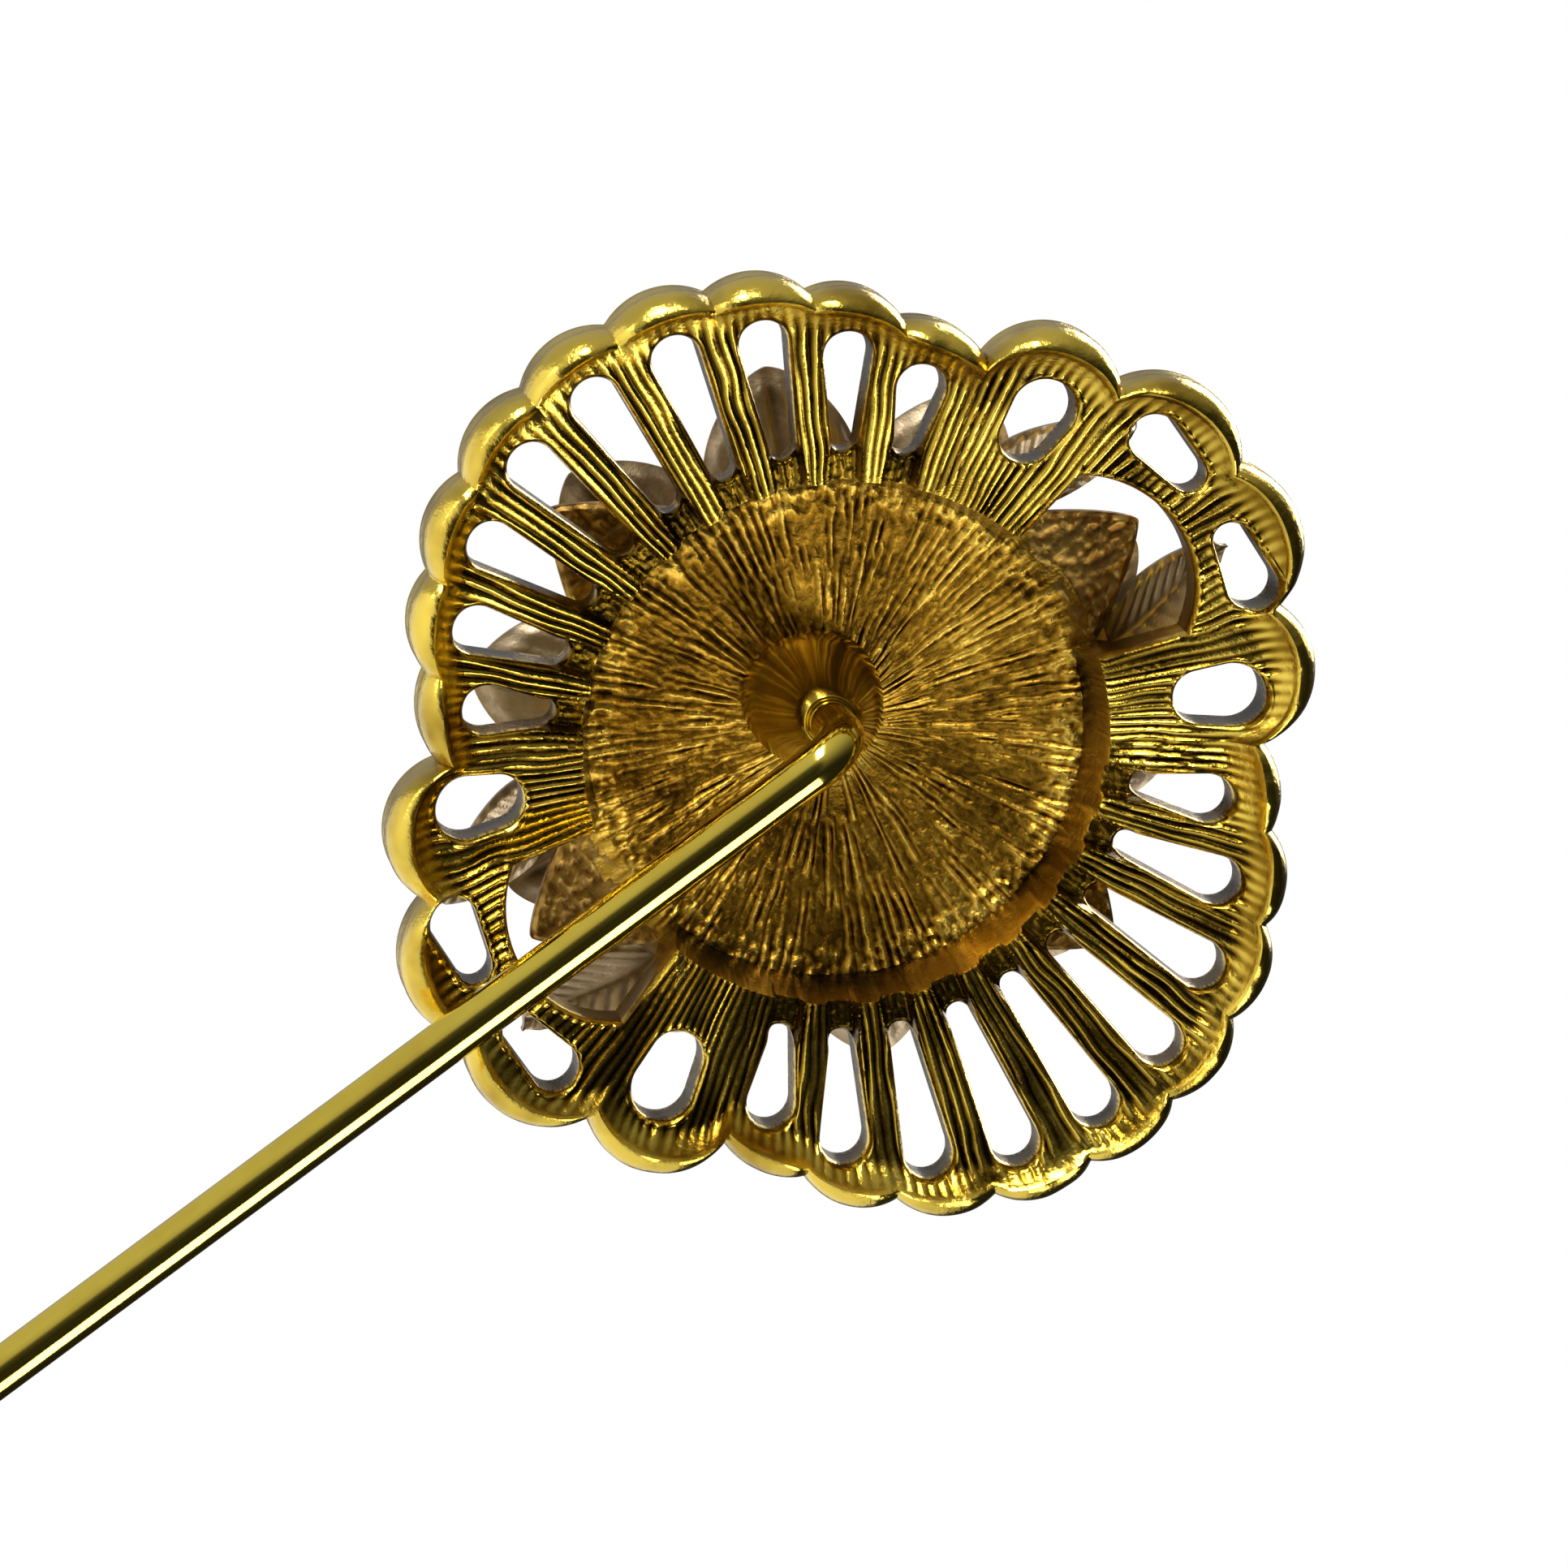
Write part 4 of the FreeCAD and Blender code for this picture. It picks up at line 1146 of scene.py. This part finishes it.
def nylon_finish():
    """Natural nylon with faint clouding."""
    material, shader, add, join = new_finish("Nylon")
    if shader is None:
        return material
    cloud = noise(add, join, 700.0)
    tone = ramp(add, join, cloud.outputs["Fac"], ((0.3, (0.80, 0.78, 0.70)), (0.7, (0.88, 0.86, 0.80))))
    join(tone.outputs["Color"], shader.inputs["Base Color"])
    spread = arithmetic(add, join, "MULTIPLY", cloud.outputs["Fac"], 0.15)
    join(arithmetic(add, join, "ADD", spread, 0.38), shader.inputs["Roughness"])
    return material


# ---------------------------------------------------------------- stage

CAMERA_AZIMUTH = 164.0
CAMERA_ROLL = 53.5
CAMERA_DISTANCE = 0.23
CAMERA_LENS = 198.9
AIM_RIGHT = -1.713
AIM_UP = -1.056


def camera_axes():
    """Right, up and back directions of the camera: level, turned about Z, then rolled."""
    azimuth = math.radians(CAMERA_AZIMUTH)
    back = Vector((math.sin(azimuth), -math.cos(azimuth), 0.0))
    level = Vector((math.cos(azimuth), math.sin(azimuth), 0.0))
    roll = math.radians(CAMERA_ROLL)
    up = Vector((0.0, 0.0, 1.0))
    right = level * math.cos(roll) + up * math.sin(roll)
    return right, up * math.cos(roll) - level * math.sin(roll), back


def place_camera():
    """Long lens close to the back of the ornament, the stem running off to the lower left."""
    right, up, back = camera_axes()
    aim = Vector((0.0, 0.0, AXIS_Z * MM)) + right * (AIM_RIGHT * MM) + up * (AIM_UP * MM)
    spot = aim + back * CAMERA_DISTANCE
    data = bpy.data.cameras.new("camera")
    data.lens = CAMERA_LENS
    data.sensor_width = 36.0
    data.clip_start = 0.005
    data.clip_end = 20.0
    camera = bpy.data.objects.new("camera", data)
    axes = Matrix((right, up, back)).transposed().to_4x4()
    camera.matrix_world = Matrix.Translation(spot) @ axes
    bpy.context.scene.collection.objects.link(camera)
    bpy.context.scene.camera = camera


def softbox(name, direction, distance, width, height, power):
    """A rectangular light that looks at the ornament from a direction."""
    data = bpy.data.lights.new(name, "AREA")
    data.shape = "RECTANGLE"
    data.size = width
    data.size_y = height
    data.energy = power
    light = bpy.data.objects.new(name, data)
    target = Vector((0.0, -0.005, 0.0))
    light.location = target + direction.normalized() * distance
    light.rotation_euler = (target - light.location).to_track_quat("-Z", "Y").to_euler()
    bpy.context.scene.collection.objects.link(light)


def place_lights():
    """Soft studio light: a broad key from the upper side, two weaker sides and one for the front."""
    right, up, back = camera_axes()
    softbox("key", up * 1.0 + back * 0.75 - right * 0.15, 0.55, 0.36, 0.10, 3.6)
    softbox("side", right * -1.0 + back * 0.5 + up * 0.25, 0.5, 0.12, 0.34, 1.9)
    softbox("low", right * 0.55 - up * 0.9 + back * 0.45, 0.5, 0.34, 0.12, 1.0)
    softbox("front", -back * 1.0 + Vector((0.0, 0.0, 0.9)), 0.6, 0.4, 0.3, 3.5)


def make_world():
    """Surroundings: plain white to the eye; in reflections brighter above and dark behind the camera."""
    right, up, back = camera_axes()
    world = bpy.data.worlds.new("studio")
    world.use_nodes = True
    bpy.context.scene.world = world
    world.node_tree.nodes.clear()
    add, join = node_tools(world.node_tree)
    where = add("ShaderNodeTexCoord")

    def brightness(direction, low, high, first, last):
        """Brightness from first to last as a look's share of a direction goes from low to high."""
        share = add("ShaderNodeVectorMath", operation="DOT_PRODUCT")
        share.inputs[1].default_value = direction
        join(where.outputs["Generated"], share.inputs[0])
        span = add("ShaderNodeMapRange", interpolation_type="SMOOTHSTEP")
        join(share.outputs["Value"], span.inputs["Value"])
        for socket, value in (("From Min", low), ("From Max", high), ("To Min", first), ("To Max", last)):
            span.inputs[socket].default_value = value
        return span.outputs["Result"]

    rise = brightness((up * 0.85 - right * 0.5).normalized(), -0.6, 0.9, 0.02, 0.62)
    shade = brightness(back, 0.86, 0.985, 1.0, 0.2)
    lit = add("ShaderNodeBackground")
    join(arithmetic(add, join, "MULTIPLY", rise, shade), lit.inputs["Strength"])
    seen = add("ShaderNodeBackground")
    seen.inputs["Color"].default_value = (1.0, 1.0, 1.0, 1.0)
    seen.inputs["Strength"].default_value = 1.0
    either = add("ShaderNodeMixShader")
    join(add("ShaderNodeLightPath").outputs["Is Camera Ray"], either.inputs["Fac"])
    join(lit.outputs["Background"], either.inputs[1])
    join(seen.outputs["Background"], either.inputs[2])
    join(either.outputs["Shader"], add("ShaderNodeOutputWorld").inputs["Surface"])


def make_floor():
    """Round pale floor well below the pin's point."""
    columns = 96
    angle = np.arange(columns) * 2.0 * math.pi / columns
    radius = np.array([0.0, 0.05, 0.15, 0.25, 0.34, 0.35, 0.35, 0.34, 0.2, 0.0])
    level = np.array([0.0, 0.0, 0.0, 0.0, 0.0, -0.001, -0.004, -0.005, -0.005, -0.005]) - 0.135
    points = np.stack([radius[:, None] * np.cos(angle), radius[:, None] * np.sin(angle),
                       np.broadcast_to(level[:, None], (len(level), columns))], -1)
    shell = Shell()
    shell.grid(points, 0.0, around=True)
    floor = shell.build("floor")
    material, shader, add, join = new_finish("Pale floor")
    cloud = noise(add, join, 3.0)
    tone = ramp(add, join, cloud.outputs["Fac"], ((0.3, (0.80, 0.80, 0.79)), (0.7, (0.84, 0.84, 0.83))))
    join(tone.outputs["Color"], shader.inputs["Base Color"])
    shader.inputs["Roughness"].default_value = 0.7
    floor.data.materials.append(material)


def make_stage():
    """Camera, lights, surroundings and floor, with colours shown as they are."""
    bpy.context.scene.view_settings.view_transform = "Standard"
    place_camera()
    place_lights()
    make_world()
    make_floor()


# ---------------------------------------------------------------- add-on

class HatPinSettings(bpy.types.PropertyGroup):
    """Sizes and colours that a user may change before making the pieces."""

    rib_height: bpy.props.FloatProperty(
        name="Rib height", description="Height of the ribs on the cast frame",
        default=0.0001, min=0.0, max=0.0003, precision=5, unit="LENGTH")
    ridge_height: bpy.props.FloatProperty(
        name="Ridge height", description="Height of the ridges on the recessed floor",
        default=0.00009, min=0.0, max=0.0003, precision=5, unit="LENGTH")
    cast_colour: bpy.props.FloatVectorProperty(
        name="Cast gold", description="Colour of the cast frame's high spots",
        default=(0.78, 0.57, 0.085), size=3, min=0.0, max=1.0, subtype="COLOR")
    front_colour: bpy.props.FloatVectorProperty(
        name="Front gold", description="Colour of the front leaves and petals",
        default=(0.47, 0.37, 0.24), size=3, min=0.0, max=1.0, subtype="COLOR")


LENGTH_SETTINGS = ("rib_height", "ridge_height")


def setting(name):
    """A setting of the scene, lengths in millimetres."""
    value = getattr(bpy.context.scene.hat_pin, name)
    return value / MM if name in LENGTH_SETTINGS else tuple(value)


class HATPIN_OT_frame(bpy.types.Operator):
    """Make the cast openwork frame"""

    bl_idname = "hatpin.frame"
    bl_label = "Cast frame"

    def execute(self, context):
        make_frame()
        return {"FINISHED"}


class HATPIN_OT_dish(bpy.types.Operator):
    """Make the recessed floor and its corner petals"""

    bl_idname = "hatpin.dish"
    bl_label = "Dish and corner petals"

    def execute(self, context):
        make_dish()
        return {"FINISHED"}


class HATPIN_OT_leaves(bpy.types.Operator):
    """Make the two leaf sprays"""

    bl_idname = "hatpin.leaves"
    bl_label = "Leaf sprays"

    def execute(self, context):
        make_leaves()
        return {"FINISHED"}


class HATPIN_OT_petals(bpy.types.Operator):
    """Make the two petal layers"""

    bl_idname = "hatpin.petals"
    bl_label = "Petal layers"

    def execute(self, context):
        make_petals()
        return {"FINISHED"}


class HATPIN_OT_setting(bpy.types.Operator):
    """Make the pearl, its cup and the rivet"""

    bl_idname = "hatpin.setting"
    bl_label = "Pearl setting"

    def execute(self, context):
        make_setting()
        return {"FINISHED"}


class HATPIN_OT_boss(bpy.types.Operator):
    """Make the solder boss"""

    bl_idname = "hatpin.boss"
    bl_label = "Solder boss"

    def execute(self, context):
        make_boss()
        return {"FINISHED"}


class HATPIN_OT_stem(bpy.types.Operator):
    """Make the bent wire stem"""

    bl_idname = "hatpin.stem"
    bl_label = "Stem"

    def execute(self, context):
        make_stem()
        return {"FINISHED"}


class HATPIN_OT_guard(bpy.types.Operator):
    """Make the point guard"""

    bl_idname = "hatpin.guard"
    bl_label = "Point guard"

    def execute(self, context):
        make_guard()
        return {"FINISHED"}


class HATPIN_OT_stage(bpy.types.Operator):
    """Make the camera, lights, surroundings and floor"""

    bl_idname = "hatpin.stage"
    bl_label = "Stage"

    def execute(self, context):
        make_stage()
        return {"FINISHED"}


class HATPIN_PT_panel(bpy.types.Panel):
    """Lists the settings and the pieces"""

    bl_label = "Hat Pin"
    bl_idname = "HATPIN_PT_panel"
    bl_space_type = "VIEW_3D"
    bl_region_type = "UI"
    bl_category = "Hat Pin"

    def draw(self, context):
        for name in HatPinSettings.__annotations__:
            self.layout.prop(context.scene.hat_pin, name)
        for operator in OPERATORS:
            self.layout.operator(operator.bl_idname)


OPERATORS = (HATPIN_OT_frame, HATPIN_OT_dish, HATPIN_OT_leaves, HATPIN_OT_petals, HATPIN_OT_setting,
             HATPIN_OT_boss, HATPIN_OT_stem, HATPIN_OT_guard, HATPIN_OT_stage)


def register():
    """Register the settings, the operators and the panel."""
    bpy.utils.register_class(HatPinSettings)
    bpy.types.Scene.hat_pin = bpy.props.PointerProperty(type=HatPinSettings)
    for item in OPERATORS + (HATPIN_PT_panel,):
        bpy.utils.register_class(item)


def unregister():
    """Take everything back out in reverse order."""
    for item in reversed(OPERATORS + (HATPIN_PT_panel,)):
        bpy.utils.unregister_class(item)
    del bpy.types.Scene.hat_pin
    bpy.utils.unregister_class(HatPinSettings)


def main():
    """Make every piece."""
    register()
    bpy.ops.hatpin.frame()
    bpy.ops.hatpin.dish()
    bpy.ops.hatpin.leaves()
    bpy.ops.hatpin.petals()
    bpy.ops.hatpin.setting()
    bpy.ops.hatpin.boss()
    bpy.ops.hatpin.stem()
    bpy.ops.hatpin.guard()
    bpy.ops.hatpin.stage()


if __name__ == "__main__":
    main()
